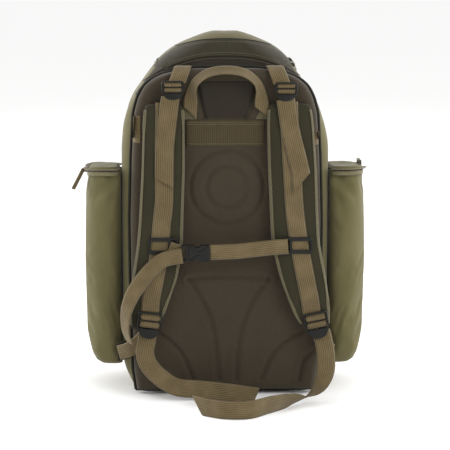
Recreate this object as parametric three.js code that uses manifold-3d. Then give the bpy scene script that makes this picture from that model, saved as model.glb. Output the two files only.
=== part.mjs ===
// A tackle backpack for anglers, in millimetres, standing on its base with +Z up.
// Heights below are measured from the foot of the lower webbing, and GROUND is the base's underside.
// The wearer's side (back panel and shoulder straps) faces -Y; left and right are as seen from there.
import * as THREE from 'three';
import { mergeVertices } from 'three/addons/utils/BufferGeometryUtils.js';
import Module from 'manifold-3d';

const wasm = await Module();
wasm.setup();

// ---- driving dimensions -------------------------------------------------------------------
const GAP = 0.4; // clearance between pieces that touch
const FABRIC = 3; // wall of a padded fabric shell
const STRAP = 30; // width of the shoulder webbing
const CHEST_STRAP = 25; // width of the sternum webbing
const WEBBING = 1.6; // thickness of all webbing
const BAG_BACK = -80; // outer face of the bag's rear wall
const BAG_FRONT = 92; // outer face of the bag's front wall
const BAG_HALF_WIDTH = 170; // half width between the side pockets
const RIM_HEIGHT = 520; // open top edge of the bag
const TOTAL_HEIGHT = 574; // top of the domed lid
const GROUND = -16; // underside of the base panel
const PANEL_THICKNESS = 28; // padded back panel
const PANEL_TOP = 521;
const PAD_THICKNESS = 16; // shoulder pad
const POCKET_OUTER = 228; // outer face of a side pocket from the middle of the bag
const FRONT_POCKET_FACE = 146;
const CORNER_STEPS = 4; // straight steps in each rounded corner

const PANEL_REAR = BAG_BACK - GAP;
const PANEL_FACE = PANEL_REAR - PANEL_THICKNESS;

const FINISH = {
  olive: { color: 0x6b6640, roughness: 0.85, metalness: 0 },
  panel: { color: 0x463d33, roughness: 0.9, metalness: 0 },
  padFabric: { color: 0x45412c, roughness: 0.9, metalness: 0 },
  mesh: { color: 0x6a6a45, roughness: 0.95, metalness: 0 },
  webbing: { color: 0x7d7050, roughness: 0.8, metalness: 0 },
  plastic: { color: 0x3a3c3e, roughness: 0.45, metalness: 0 },
  board: { color: 0x20211f, roughness: 0.6, metalness: 0 },
  metal: { color: 0x5f5c52, roughness: 0.4, metalness: 1 },
};

const pack = new THREE.Group();
const standing = new THREE.Group(); // lifts every piece so that the base stands on z = 0
standing.position.z = -GROUND;
pack.add(standing);

function addPiece(name, geometry, finish) {
  const piece = new THREE.Mesh(geometry, new THREE.MeshStandardMaterial(FINISH[finish]));
  piece.name = name;
  standing.add(piece);
  return piece;
}

// ---- solids from rings --------------------------------------------------------------------
function signedVolume(points, faces) {
  let volume = 0;
  for (const [a, b, c] of faces) {
    volume += points[a].dot(new THREE.Vector3().crossVectors(points[b], points[c]));
  }
  return volume / 6;
}

function solidFromFaces(points, faces) {
  const outward = signedVolume(points, faces) > 0;
  const geometry = new THREE.BufferGeometry();
  geometry.setAttribute(
    'position',
    new THREE.Float32BufferAttribute(points.flatMap((p) => [p.x, p.y, p.z]), 3),
  );
  geometry.setIndex(faces.flatMap(([a, b, c]) => (outward ? [a, b, c] : [a, c, b])));
  return geometry;
}

// Joins rings of equally many points into one skin. A loop closes on its first ring,
// anything else is closed by a flat fan at each end.
function loft(rings, isLoop = false) {
  const count = rings[0].length;
  const points = rings.flat();
  const faces = [];
  const spans = isLoop ? rings.length : rings.length - 1;
  for (let r = 0; r < spans; r += 1) {
    const here = r * count;
    const next = ((r + 1) % rings.length) * count;
    for (let i = 0; i < count; i += 1) {
      const j = (i + 1) % count;
      faces.push([here + i, here + j, next + j], [here + i, next + j, next + i]);
    }
  }
  if (!isLoop) {
    const last = (rings.length - 1) * count;
    for (let i = 1; i < count - 1; i += 1) {
      faces.push([0, i + 1, i], [last, last + i, last + i + 1]);
    }
  }
  return solidFromFaces(points, faces);
}

function roundedRectangle(xMin, xMax, yMin, yMax, radius, steps = CORNER_STEPS) {
  const corners = [
    [xMax - radius, yMin + radius, -Math.PI / 2],
    [xMax - radius, yMax - radius, 0],
    [xMin + radius, yMax - radius, Math.PI / 2],
    [xMin + radius, yMin + radius, Math.PI],
  ];
  return corners.flatMap(([x, y, start]) => {
    const arc = [];
    for (let i = 0; i <= steps; i += 1) {
      const angle = start + (i / steps) * (Math.PI / 2);
      arc.push([x + radius * Math.cos(angle), y + radius * Math.sin(angle)]);
    }
    return arc;
  });
}

// One level of a standing shell: [height, xMin, xMax, yMin, yMax, corner radius].
function levelRing([z, xMin, xMax, yMin, yMax, radius], inset = 0) {
  const outline = roundedRectangle(
    xMin + inset,
    xMax - inset,
    yMin + inset,
    yMax - inset,
    Math.max(radius - inset, 1),
  );
  return outline.map(([x, y]) => new THREE.Vector3(x, y, z));
}

const raised = (level, rise) => [level[0] + rise, ...level.slice(1)];

// A cup: its outer skin rises from the floor, turns over the rim and comes down inside.
function cup(levels, wall) {
  const outer = levels.map((level) => levelRing(level));
  const inner = levels.map((level, i) => levelRing(i === 0 ? raised(level, wall) : level, wall));
  return loft([...outer, ...inner.reverse()]);
}

// A domed lid, hollow below: the same as a cup, upside down.
function dome(levels, wall) {
  const outer = levels.map((level) => levelRing(level));
  const inner = levels.map((level, i) => levelRing(i === 0 ? level : raised(level, -wall), wall));
  return loft([...outer.reverse(), ...inner]);
}

// ---- flat bands ---------------------------------------------------------------------------
const vector = (p) => new THREE.Vector3(...p);

// A flat band along a route. Every route point is [x, y, z, width direction x, y, z].
function band(route, width, thickness, steps = 0) {
  const places = route.map((p) => vector(p.slice(0, 3)));
  const sides = route.map((p) => vector(p.slice(3, 6)));
  const count = steps || route.length - 1;
  const along = (list, t) => {
    if (!steps) return list[Math.round(t * count)].clone();
    return new THREE.CatmullRomCurve3(list, false, 'catmullrom', 0.5).getPoint(t);
  };
  const centres = [];
  for (let i = 0; i <= count; i += 1) centres.push(along(places, i / count));
  const rings = centres.map((centre, i) => {
    const before = centres[Math.max(i - 1, 0)];
    const after = centres[Math.min(i + 1, count)];
    const tangent = new THREE.Vector3().subVectors(after, before).normalize();
    const side = along(sides, i / count);
    side.addScaledVector(tangent, -side.dot(tangent)).normalize();
    const face = new THREE.Vector3().crossVectors(tangent, side);
    const chamfer = thickness / 4;
    const section = [
      [width / 2, chamfer],
      [width / 2 - chamfer, thickness / 2],
      [chamfer - width / 2, thickness / 2],
      [-width / 2, chamfer],
      [-width / 2, -chamfer],
      [chamfer - width / 2, -thickness / 2],
      [width / 2 - chamfer, -thickness / 2],
      [width / 2, -chamfer],
    ];
    return section.map(([u, v]) => centre.clone().addScaledVector(side, u).addScaledVector(face, v));
  });
  return loft(rings);
}

// ---- flat plates with windows, standing in the XZ plane ------------------------------------
function shapeOf(points) {
  return new THREE.Shape(points.map(([x, z]) => new THREE.Vector2(x, z)));
}

// The plate's front face is at y = -thickness / 2 before it is placed.
function uprightPlate(outline, windows, thickness) {
  const shape = shapeOf(outline);
  shape.holes = windows.map(shapeOf);
  const plate = new THREE.ExtrudeGeometry(shape, { depth: thickness, bevelEnabled: false });
  plate.translate(0, 0, -thickness / 2);
  plate.rotateX(Math.PI / 2);
  return plate;
}

const windowOf = (xMin, xMax, zMin, zMax) => roundedRectangle(xMin, xMax, zMin, zMax, 1, 1);

// ---- booleans -----------------------------------------------------------------------------
function toManifold(geometry) {
  const plain = geometry.clone();
  plain.deleteAttribute('normal');
  plain.deleteAttribute('uv');
  const merged = mergeVertices(plain);
  return new wasm.Manifold(new wasm.Mesh({
    numProp: 3,
    vertProperties: new Float32Array(merged.attributes.position.array),
    triVerts: new Uint32Array(merged.index.array),
  }));
}

function cutAway(geometry, cutters) {
  let solid = toManifold(geometry);
  for (const cutter of cutters) solid = solid.subtract(toManifold(cutter));
  const mesh = solid.getMesh();
  const result = new THREE.BufferGeometry();
  result.setAttribute('position', new THREE.BufferAttribute(new Float32Array(mesh.vertProperties), 3));
  result.setIndex(new THREE.BufferAttribute(new Uint32Array(mesh.triVerts), 1));
  return result;
}

function blockBetween([x0, y0, z0], [x1, y1, z1]) {
  const block = new THREE.BoxGeometry(x1 - x0, y1 - y0, z1 - z0);
  block.translate((x0 + x1) / 2, (y0 + y1) / 2, (z0 + z1) / 2);
  return block;
}

// ---- the bag ------------------------------------------------------------------------------
const bagLevel = (z, halfWidth, yMin, yMax, radius) => [z, -halfWidth, halfWidth, yMin, yMax, radius];

function buildBag() {
  const baseThickness = 2.6;
  const foot = bagLevel(GROUND, 148, BAG_BACK + 5, BAG_FRONT - 9, 20);
  addPiece('base_panel', loft([levelRing(foot), levelRing(raised(foot, baseThickness))]), 'board');
  addPiece('bag_shell', cup([
    bagLevel(GROUND + baseThickness + GAP, 150, BAG_BACK + 4, BAG_FRONT - 8, 22),
    bagLevel(GROUND + 20, 159, BAG_BACK, BAG_FRONT - 2, 26),
    bagLevel(GROUND + 45, BAG_HALF_WIDTH, BAG_BACK, BAG_FRONT, 30),
    bagLevel(392, BAG_HALF_WIDTH, BAG_BACK, BAG_FRONT, 30),
    bagLevel(425, 163, BAG_BACK, BAG_FRONT - 3, 34),
    bagLevel(455, 155, BAG_BACK, BAG_FRONT - 8, 38),
    bagLevel(480, 141, BAG_BACK, BAG_FRONT - 14, 44),
    bagLevel(505, 126, BAG_BACK, BAG_FRONT - 21, 48),
    bagLevel(RIM_HEIGHT, 115, BAG_BACK, BAG_FRONT - 26, 48),
  ], FABRIC), 'olive');
  const board = [[-118, 8], [118, 8], [118, 410], [100, 470], [82, 502], [-82, 502], [-100, 470], [-118, 410]];
  const sheet = addPiece('frame_sheet', uprightPlate(board, [], 2.4), 'board');
  sheet.position.y = BAG_BACK + FABRIC + GAP + 1.2;
}

function buildLid() {
  const rim = RIM_HEIGHT + 0.6;
  addPiece('main_lid', dome([
    bagLevel(rim, 115, BAG_BACK, BAG_FRONT - 26, 48),
    bagLevel(rim + 13, 104, BAG_BACK + 2, BAG_FRONT - 32, 46),
    bagLevel(rim + 26, 88, BAG_BACK + 10, BAG_FRONT - 44, 42),
    bagLevel(rim + 38, 67, BAG_BACK + 23, BAG_FRONT - 58, 34),
    bagLevel(rim + 47, 43, BAG_BACK + 40, BAG_FRONT - 76, 22),
    bagLevel(TOTAL_HEIGHT, 20, BAG_BACK + 60, BAG_FRONT - 96, 6),
  ], FABRIC), 'olive');
}

// ---- the padded back panel and its piping ---------------------------------------------------
// Half of the panel's outline, [half width, height], from the foot up to the crown.
const PANEL_HALF_OUTLINE = [
  [146, -11], [151, 24], [154, 140], [155, 275], [152, 380], [148, 448],
  [141, 474], [131, 493], [112, 508], [84, 517], [45, PANEL_TOP],
];

function panelRing(y, inset) {
  const side = PANEL_HALF_OUTLINE.map(([x, z]) => {
    const middle = 255;
    const lift = Math.sign(middle - z) * Math.min(inset, Math.abs(middle - z) / 8);
    return [x - inset, z + lift];
  });
  const outline = [...side, ...side.slice().reverse().map(([x, z]) => [-x, z])];
  return outline.map(([x, z]) => new THREE.Vector3(x, y, z));
}

function buildBackPanel() {
  addPiece('back_panel_pad', loft([
    panelRing(PANEL_REAR, 0),
    panelRing(PANEL_FACE + 11, 0),
    panelRing(PANEL_FACE + 3, 4),
    panelRing(PANEL_FACE, 11),
  ]), 'panel');
  const radius = 2.2;
  const loopCentre = panelRing(0, -GAP - radius);
  const sides = 6;
  const rings = loopCentre.map((centre, i) => {
    const before = loopCentre[(i + loopCentre.length - 1) % loopCentre.length];
    const after = loopCentre[(i + 1) % loopCentre.length];
    const tangent = new THREE.Vector3().subVectors(after, before).normalize();
    const outward = new THREE.Vector3(tangent.z, 0, -tangent.x);
    const ring = [];
    for (let k = 0; k < sides; k += 1) {
      const angle = (k / sides) * 2 * Math.PI;
      const point = centre.clone().addScaledVector(outward, radius * Math.cos(angle));
      point.y = PANEL_REAR - 3 + radius * Math.sin(angle);
      ring.push(point);
    }
    return ring;
  });
  addPiece('panel_piping', loft(rings, true), 'board');
}

// ---- pockets with zipped flaps ----------------------------------------------------------------
const SIDES = [
  { name: 'left', sign: -1 },
  { name: 'right', sign: 1 },
];
const POCKET_TOP = 352;

function mirrorLevel([z, xMin, xMax, yMin, yMax, radius], sign) {
  return sign > 0 ? [z, xMin, xMax, yMin, yMax, radius] : [z, -xMax, -xMin, yMin, yMax, radius];
}

function buildSidePocket({ name, sign }) {
  const inner = BAG_HALF_WIDTH + GAP;
  const levels = [
    [27, inner, POCKET_OUTER - 22, -62, 48, 14],
    [35, inner, POCKET_OUTER - 10, -72, 60, 18],
    [53, inner, POCKET_OUTER - 3, -77, 68, 22],
    [200, inner, POCKET_OUTER, -78, 70, 24],
    [POCKET_TOP, inner, POCKET_OUTER - 3, -78, 70, 22],
  ].map((level) => mirrorLevel(level, sign));
  addPiece(`${name}_pocket_shell`, cup(levels, FABRIC - 0.5), 'olive');
  const flapRim = POCKET_TOP + GAP;
  const flap = [
    [flapRim, inner + 4, POCKET_OUTER - 3, -78, 70, 22],
    [flapRim + 3, inner + 4, POCKET_OUTER - 4, -77, 69, 22],
    [flapRim + 6, inner + 18, POCKET_OUTER - 14, -66, 58, 14],
  ].map((level) => levelRing(mirrorLevel(level, sign)));
  addPiece(`${name}_pocket_flap`, loft(flap), 'olive');
}

function buildFrontPocket() {
  const back = BAG_FRONT + GAP;
  const face = FRONT_POCKET_FACE;
  addPiece('front_pocket_shell', cup([
    [26, -112, 112, back, face - 16, 12],
    [36, -122, 122, back, face - 6, 18],
    [80, -126, 126, back, face, 22],
    [300, -124, 124, back, face - 4, 22],
  ], FABRIC - 0.5), 'olive');
  addPiece('front_pocket_flap', loft([
    levelRing([300 + GAP, -124, 124, back + 4, face - 4, 22]),
    levelRing([304, -123, 123, back + 4, face - 5, 22]),
    levelRing([307, -108, 108, back + 16, face - 14, 12]),
  ]), 'olive');
}

// ---- zip sliders and their pulls ----------------------------------------------------------------
// The slider is a small shaped block; its pull hangs from it as a flat tapered tongue.
function sliderBlock(length, width, height) {
  const outline = [
    [-length / 2, -width * 0.3], [-length * 0.2, -width / 2], [length / 2, -width / 2],
    [length / 2, width / 2], [-length * 0.2, width / 2], [-length / 2, width * 0.3],
  ];
  const block = new THREE.ExtrudeGeometry(shapeOf(outline), { depth: height, bevelEnabled: false });
  block.translate(0, 0, -height / 2);
  return block;
}

function pullTongue(width, length, thickness) {
  const neck = width * 0.55;
  const outline = [
    [-neck / 2, 0], [-width / 2, -length * 0.3], [-width / 2, -length * 0.86], [-width * 0.3, -length],
    [width * 0.3, -length], [width / 2, -length * 0.86], [width / 2, -length * 0.3], [neck / 2, 0],
  ];
  return uprightPlate(outline, [], thickness);
}

const SLIDER = { length: 13, width: 8, height: 5 };
const PULL = { width: 9, length: 38, thickness: 2 };

// facing: turn about Z that brings the slider's outer side from -Y round to where it faces.
function addZipSlider(name, [x, y, z], facing, pullTilt) {
  const place = new THREE.Group();
  place.position.set(x, y, z);
  place.rotation.z = facing;
  standing.add(place);
  const block = sliderBlock(SLIDER.length, SLIDER.width, SLIDER.height);
  block.rotateX(Math.PI / 2);
  const slider = addPiece(`${name}_zip_slider`, block, 'metal');
  place.add(slider);
  const pull = addPiece(
    `${name}_zip_pull`,
    pullTongue(PULL.width, PULL.length, PULL.thickness),
    'webbing',
  );
  pull.position.set(0, -SLIDER.height / 2 - GAP - PULL.thickness / 2, 1);
  pull.rotation.x = -pullTilt;
  place.add(pull);
}

// ---- shoulder straps ------------------------------------------------------------------------------
// Pad stations from top to bottom: [height, middle x, half width, gap to the panel].
const PAD = {
  left: [
    [466, -99, 30, 1], [458, -99.5, 33, 1.5], [430, -100, 34, 5], [364, -101, 35, 9], [275, -105, 36, 9],
    [240, -107, 37, 9], [186, -115, 37, 9], [150, -124, 33, 8], [112, -132, 27, 5], [98, -135, 20, 4],
  ],
  right: [
    [466, 101, 33, 1], [458, 102, 36, 1.5], [430, 103, 38, 5], [364, 106, 39.5, 9], [275, 110, 39, 9],
    [240, 112, 39, 9], [186, 124, 38, 9], [150, 133, 34, 8], [114, 142, 28, 5], [98, 147, 20, 4],
  ],
};

// Middle line of the webbing sewn down each pad, [height, x].
const STRAP_LINE = {
  left: [[458, -98], [400, -99.5], [308, -99.6], [275, -104], [235, -107], [190, -114], [155, -121.5], [130, -124.5]],
  right: [[458, 100], [400, 103], [308, 108.5], [275, 112], [235, 118], [190, 127], [155, 134], [130, 140.5]],
};

function interpolate(table, value) {
  for (let i = 1; i < table.length; i += 1) {
    const [z0, ...low] = table[i - 1];
    const [z1, ...high] = table[i];
    if ((value - z0) * (value - z1) <= 0) {
      const t = (value - z0) / (z1 - z0);
      return low.map((v, k) => v + t * (high[k] - v));
    }
  }
  return table[value > table[0][0] ? 0 : table.length - 1].slice(1);
}

function padFaceY(side, z) {
  const gapToPanel = interpolate(PAD[side], z)[2];
  return PANEL_FACE - gapToPanel - PAD_THICKNESS;
}

// Heights where either the pad or a line sewn on it changes direction, from the top down.
function bendHeights(side, line) {
  const highest = line[0][0];
  const lowest = line[line.length - 1][0];
  const heights = [...PAD[side], ...line].map(([z]) => z).filter((z) => z <= highest && z >= lowest);
  return [...new Set(heights)].sort((a, b) => b - a);
}

function buildShoulderStrap({ name }) {
  const rings = PAD[name].map(([z, x, half, gapToPanel], i, all) => {
    const isEnd = i === 0 || i === all.length - 1;
    const thin = isEnd ? 4 : 0;
    const rear = PANEL_FACE - gapToPanel - thin / 2;
    return levelRing([z, x - half, x + half, rear - PAD_THICKNESS + thin, rear, 5]);
  });
  addPiece(`${name}_shoulder_pad`, loft(rings), 'padFabric');
  const route = bendHeights(name, STRAP_LINE[name]).map((z) => {
    const [x] = interpolate(STRAP_LINE[name], z);
    return [x, padFaceY(name, z) - GAP - WEBBING / 2, z, 1, 0, 0];
  });
  addPiece(`${name}_strap_webbing`, band(route, STRAP, WEBBING), 'webbing');
}

// ---- ladder-lock buckles ----------------------------------------------------------------------------
// A frame with two slots and a thumb tab below them.
function ladderLock(width, height, thickness) {
  const half = width / 2;
  const top = height / 2;
  const slot = 3.8;
  const outline = [
    [-half + 4, top], [-half, top - 5], [-half, -top * 0.25], [-half * 0.72, -top * 0.72], [-half * 0.3, -top],
    [half * 0.3, -top], [half * 0.72, -top * 0.72], [half, -top * 0.25], [half, top - 5], [half - 4, top],
  ].reverse();
  const rail = 3.2;
  const upper = top - rail;
  const lower = upper - slot - 4.5;
  return uprightPlate(outline, [
    windowOf(-half + rail, half - rail, upper - slot, upper),
    windowOf(-half + rail + 0.5, half - rail - 0.5, lower - slot, lower),
  ], thickness);
}

const LOCK_THICKNESS = 4;
const UPPER_LOCK = { width: 36, height: 30 };
const LOWER_LOCK = { width: 40, height: 43 };
const UPPER_LOCK_AT = { left: [-85.5, 489], right: [95.5, 486.5] };
const LOWER_LOCK_AT = { left: [-125.5, 108], right: [148, 106] };
const LOWER_LOCK_LEAN = { left: 0.12, right: 0.2 };
const UPPER_LOCK_Y = PANEL_FACE - PAD_THICKNESS - 4;

function lowerLockY(side) {
  return padFaceY(side, LOWER_LOCK_AT[side][1]) - 6;
}

function buildLadderLocks({ name }) {
  const [upperX, upperZ] = UPPER_LOCK_AT[name];
  const upper = addPiece(
    `${name}_lifter_lock`,
    ladderLock(UPPER_LOCK.width, UPPER_LOCK.height, LOCK_THICKNESS),
    'plastic',
  );
  upper.position.set(upperX, UPPER_LOCK_Y, upperZ);
  const [lowerX, lowerZ] = LOWER_LOCK_AT[name];
  const lower = addPiece(
    `${name}_lower_lock`,
    ladderLock(LOWER_LOCK.width, LOWER_LOCK.height, LOCK_THICKNESS),
    'plastic',
  );
  lower.position.set(lowerX, lowerLockY(name), lowerZ);
  lower.rotation.y = LOWER_LOCK_LEAN[name] * (name === 'left' ? 1 : -1);
}

// ---- webbing between the pieces ------------------------------------------------------------------------
// Load-lifter strap from the panel's top edge to its ladder-lock.
const LIFTER_TOP = { left: -68, right: 79 };

function buildLifter({ name, sign }) {
  const [lockX, lockZ] = UPPER_LOCK_AT[name];
  const topX = LIFTER_TOP[name];
  const lockTop = lockZ + UPPER_LOCK.height / 2;
  const lean = sign * 0.42;
  addPiece(`${name}_lifter_webbing`, band([
    [topX, PANEL_FACE - 2.2, PANEL_TOP - 3, 1, 0, lean],
    [(topX + lockX) / 2, PANEL_FACE - 10, (PANEL_TOP + lockTop) / 2 + 1, 1, 0, lean],
    [lockX - sign * 6, UPPER_LOCK_Y + 1, lockTop + 7.5, 1, 0, lean],
  ], STRAP - 2, WEBBING), 'webbing');
}

// Loose end of the load lifter, lying down the front of the pad.
const LIFTER_TAIL_LINE = {
  left: [[464, -89.5], [440, -94], [400, -98.5], [366, -99], [336, -99.5]],
  right: [[462, 97], [440, 99], [405, 107], [370, 116], [338, 122]],
};

function buildLifterTail({ name }) {
  const route = bendHeights(name, LIFTER_TAIL_LINE[name]).map((z, i) => {
    const [x] = interpolate(LIFTER_TAIL_LINE[name], z);
    const restsAt = padFaceY(name, z) - GAP - WEBBING - GAP - WEBBING / 2;
    return [x, restsAt - (i === 0 ? 3.5 : 0.6), z, 1, 0, 0];
  });
  addPiece(`${name}_lifter_tail`, band(route, STRAP, WEBBING), 'webbing');
}

// Anchor wing at the foot of the side seam and the webbing from it to the lower ladder-lock.
function buildAnchor({ name, sign }) {
  const wing = [[156, 44], [182, 40], [176, 66], [157, 76]].map(([x, z]) => [sign * x, z]);
  const plate = addPiece(
    `${name}_anchor_wing`,
    uprightPlate(sign > 0 ? wing : wing.reverse(), [], 3),
    'padFabric',
  );
  plate.position.y = BAG_BACK - 8;
  const [lockX, lockZ] = LOWER_LOCK_AT[name];
  const lockY = lowerLockY(name);
  addPiece(`${name}_lower_webbing`, band([
    [lockX + sign * 3, lockY + 4, lockZ - 12, 1, 0, sign * 0.3],
    [lockX + sign * 12, lockY + 7, lockZ - 34, 1, 0, sign * 0.6],
    [sign * 163, PANEL_FACE - 3.5, 60, 1, 0, sign * 1.2],
    [sign * 170, BAG_BACK - 14, 52, 0.8, -0.3 * sign, sign * 1.4],
  ], STRAP - 8, WEBBING), 'webbing');
}

// Small pieces sewn to the panel: the ribbed yoke band, two mesh corners and two edge tabs.
function buildPanelTrim() {
  const face = PANEL_FACE - GAP;
  const yoke = addPiece(
    'yoke_band',
    uprightPlate([[-65, 397], [62, 397], [63, 439], [-65, 439]], [], 2),
    'webbing',
  );
  yoke.position.y = face - 1;
  for (const { name, sign } of SIDES) {
    const outer = name === 'left' ? 67.5 : 66.5;
    const corner = [[outer, 441], [outer, 466], [outer - 18, 441]].map(([x, z]) => [sign * x, z]);
    const gusset = addPiece(
      `${name}_yoke_mesh`,
      uprightPlate(sign > 0 ? corner : corner.reverse(), [], 1.4),
      'mesh',
    );
    gusset.position.y = face - 0.7;
  }
  const tabs = { left: [-149, -136.5, 402, 446], right: [144, 149, 398, 420] };
  for (const { name } of SIDES) {
    const [xMin, xMax, zMin, zMax] = tabs[name];
    const tab = addPiece(
      `${name}_edge_tab`,
      uprightPlate([[xMin, zMin], [xMax, zMin], [xMax, zMax], [xMin, zMax]], [], 1.6),
      'webbing',
    );
    tab.position.y = PANEL_FACE - 1.2;
  }
}

// The grab handle: webbing sewn flat at both ends, turned on edge along the arch.
const HANDLE_HALF = [
  [52.5, PANEL_FACE - 3.8, 449, 1, 0, 0],
  [54, PANEL_FACE - 7, 474, 0.95, -0.3, -0.1],
  [49, PANEL_FACE - 12, 498, 0.6, -0.7, -0.4],
  [28, PANEL_FACE - 19, 513, 0.15, -0.87, -0.5],
];
const HANDLE_TOP = [0, PANEL_FACE - 21, 518, 0, -0.87, -0.5];

function buildHandle() {
  const left = HANDLE_HALF.map(([x, y, z, a, b, c]) => [-x, y, z, a, b, c]);
  const right = HANDLE_HALF.map(([x, y, z, a, b, c]) => [x, y, z, -a, b, c]).reverse();
  addPiece('grab_handle', band([...left, HANDLE_TOP, ...right], 23, WEBBING + 0.6, 16), 'webbing');
}

// ---- sternum strap ----------------------------------------------------------------------------------------
const SLIDER_FRAME = { width: 36, height: 27, loop: 12, thickness: 3.6 };
const CHEST_SLIDER_AT = { left: [-107.5, 239], right: [120.5, 239] };
const CHEST_Y = padFaceY('left', 235) - GAP - WEBBING - 0.8 - SLIDER_FRAME.thickness / 2;
const BUCKLE = { xMin: -73, xMax: -28, z: 228, height: 27, thickness: 10 };
const BUCKLE_Y = CHEST_Y - 5;
const SHOULDER_LENGTH = 12; // length of the male half that stays outside the female half

// A frame that the strap webbing threads, with a loop on the inner side for the sternum webbing.
function chestSlider(sign) {
  const { width, height, loop, thickness } = SLIDER_FRAME;
  const half = width / 2;
  const inner = -sign;
  const outline = roundedRectangle(-half, half + loop, -height / 2, height / 2, 4, 2);
  const flip = ([x, z]) => [inner * x, z];
  const place = (points) => (inner > 0 ? points : points.map(flip).reverse());
  return uprightPlate(place(outline), [
    place(windowOf(-half + 3, half - 3, -height / 2 + 6, height / 2 - 6)),
    place(windowOf(half + 0.5, half + loop - 3.5, -height / 2 + 4, height / 2 - 4)),
  ], thickness);
}

function buildChestStrap() {
  for (const { name, sign } of SIDES) {
    const [x, z] = CHEST_SLIDER_AT[name];
    const slider = addPiece(`${name}_chest_slider`, chestSlider(sign), 'plastic');
    slider.position.set(x, CHEST_Y, z);
  }
  const front = CHEST_Y - SLIDER_FRAME.thickness / 2 - GAP - WEBBING / 2;
  const { xMin, xMax, z } = BUCKLE;
  addPiece('left_chest_webbing', band([
    [-89, front - 0.8, 236, 0.2, 0, 1],
    [xMin - 6, front - 2.2, z + 3, 0.2, 0, 1],
  ], CHEST_STRAP - 5, WEBBING), 'webbing');
  addPiece('right_chest_webbing', band([
    [xMax + 1.8, BUCKLE_Y, z + 1, 0, 0, 1],
    [20, front - 1.5, 231, 0, 0, 1],
    [70, front, 236, 0, 0, 1],
    [99, front, 238, 0, 0, 1],
  ], CHEST_STRAP, WEBBING), 'webbing');
  buildBuckle();
}

function buildBuckle() {
  const { xMin, xMax, z, height, thickness } = BUCKLE;
  const half = height / 2;
  const near = BUCKLE_Y - thickness / 2;
  const far = BUCKLE_Y + thickness / 2;
  const mouth = xMin + SHOULDER_LENGTH;
  const wall = 2;
  const socketEnd = xMax - 6;
  const body = blockBetween([mouth + GAP, near, z - half], [xMax, far, z + half]);
  const socket = blockBetween([mouth - 1, near + wall, z - half + wall], [socketEnd, far - wall, z + half - wall]);
  const windowStart = mouth + 9;
  const windowEnd = mouth + 19;
  const sideWindow = blockBetween([windowStart, near - 1, z - half - 1], [windowEnd, far + 1, z + half + 1]);
  const keepMiddle = blockBetween([windowStart - 1, near - 2, z - half + 4], [windowEnd + 1, far + 2, z + half - 4]);
  addPiece('chest_buckle_female', cutAway(body, [socket, cutAway(sideWindow, [keepMiddle])]), 'plastic');

  // The male half: a ladder frame outside the socket and a flat guide tongue inside it.
  const frame = blockBetween([xMin, near, z - half], [mouth, far, z + half]);
  const slot = blockBetween([xMin + 3, near - 1, z - half + 3], [xMin + 7.5, far + 1, z + half - 3]);
  const male = cutAway(frame, [slot]);
  addPiece('chest_buckle_male', male, 'plastic');
  const tongueReach = socketEnd - 1;
  const inset = wall + 0.6;
  for (const [name, sign] of [['upper', 1], ['lower', -1]]) {
    const root = z + sign * 3;
    const tip = z + sign * (half - inset);
    const prong = blockBetween(
      [mouth + GAP, near + inset, Math.min(root + sign * 4, tip)],
      [tongueReach, far - inset, Math.max(root + sign * 4, tip)],
    );
    addPiece(`${name}_buckle_prong`, prong, 'plastic');
  }
  addPiece(
    'buckle_guide_tongue',
    blockBetween([mouth + GAP, near + inset, z - 4], [tongueReach - 6, far - inset, z + 4]),
    'plastic',
  );
}

// ---- loose webbing tails -------------------------------------------------------------------------------------
// Each route point is [x, y, z, width direction].
const ON_EDGE = GROUND + STRAP / 2 + 0.6; // middle height of webbing that lies on its edge on the ground
const LEFT_TAIL = [
  [-128, -135.6, 81, 1, 0, 0.2],
  [-132, -143, 66, 0.95, 0.2, 0.3],
  [-127, -149, 48, 0.8, 0.1, 0.6],
  [-111, -151, 29, 0.5, 0, 0.85],
  [-82, -148, 9, 0.2, 0, 1],
  [-42, -145, ON_EDGE + 4, 0.1, 0, 1],
  [6, -155, ON_EDGE + 1, 0, 0, 1],
  [47, -176, ON_EDGE, 0, 0, 1],
];
const RIGHT_TAIL = [
  [154, -134, 80, 1, 0, -0.2],
  [161, -150, 58, 1, -0.1, 0],
  [158, -166, 34, 0.9, -0.3, 0],
  [145, -172, 9, 0.55, -0.8, 0],
  [124, -180, -3, 0, -0.95, 0.3],
  [100, -200, -2, 0, -0.6, 0.8],
  [66, -236, ON_EDGE + 1.5, 0, -0.2, 1],
  [34, -260, ON_EDGE, 0, 0, 1],
  [-5, -261, ON_EDGE, 0, 0, 1],
  [-32, -245, ON_EDGE, 0, 0, 1],
  [-49, -229, ON_EDGE, 0, 0, 1],
];
const CHEST_TAIL = [
  [-71, -151.6, 225, 0, 0, 1],
  [-86, -152, 223, -0.1, 0, 1],
  [-104, -151, 217, -0.35, 0, 0.94],
  [-127, -149, 196, -0.65, 0.05, 0.75],
  [-149, -147, 165, -0.8, 0.3, 0.5],
  [-160, -146, 140, -0.75, 0.6, 0.3],
  [-164, -144, 118, -0.6, 0.8, 0.1],
  [-163, -142, 98, -0.5, 0.85, 0],
  [-157, -140, 81, -0.45, 0.9, 0],
];
const TAIL_STEPS = 24;

function buildTails() {
  addPiece('left_long_tail', band(LEFT_TAIL, STRAP, WEBBING, TAIL_STEPS), 'webbing');
  addPiece('right_long_tail', band(RIGHT_TAIL, STRAP, WEBBING, TAIL_STEPS + 8), 'webbing');
  addPiece('chest_tail', band(CHEST_TAIL, CHEST_STRAP, WEBBING, TAIL_STEPS), 'webbing');
}

// ---- assembly ----------------------------------------------------------------------------------------------
buildBag();
buildLid();
buildBackPanel();
SIDES.forEach(buildSidePocket);
buildFrontPocket();
SIDES.forEach(buildShoulderStrap);
SIDES.forEach(buildLadderLocks);
SIDES.forEach(buildLifter);
SIDES.forEach(buildLifterTail);
SIDES.forEach(buildAnchor);
buildPanelTrim();
buildHandle();
buildChestStrap();
buildTails();

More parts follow.
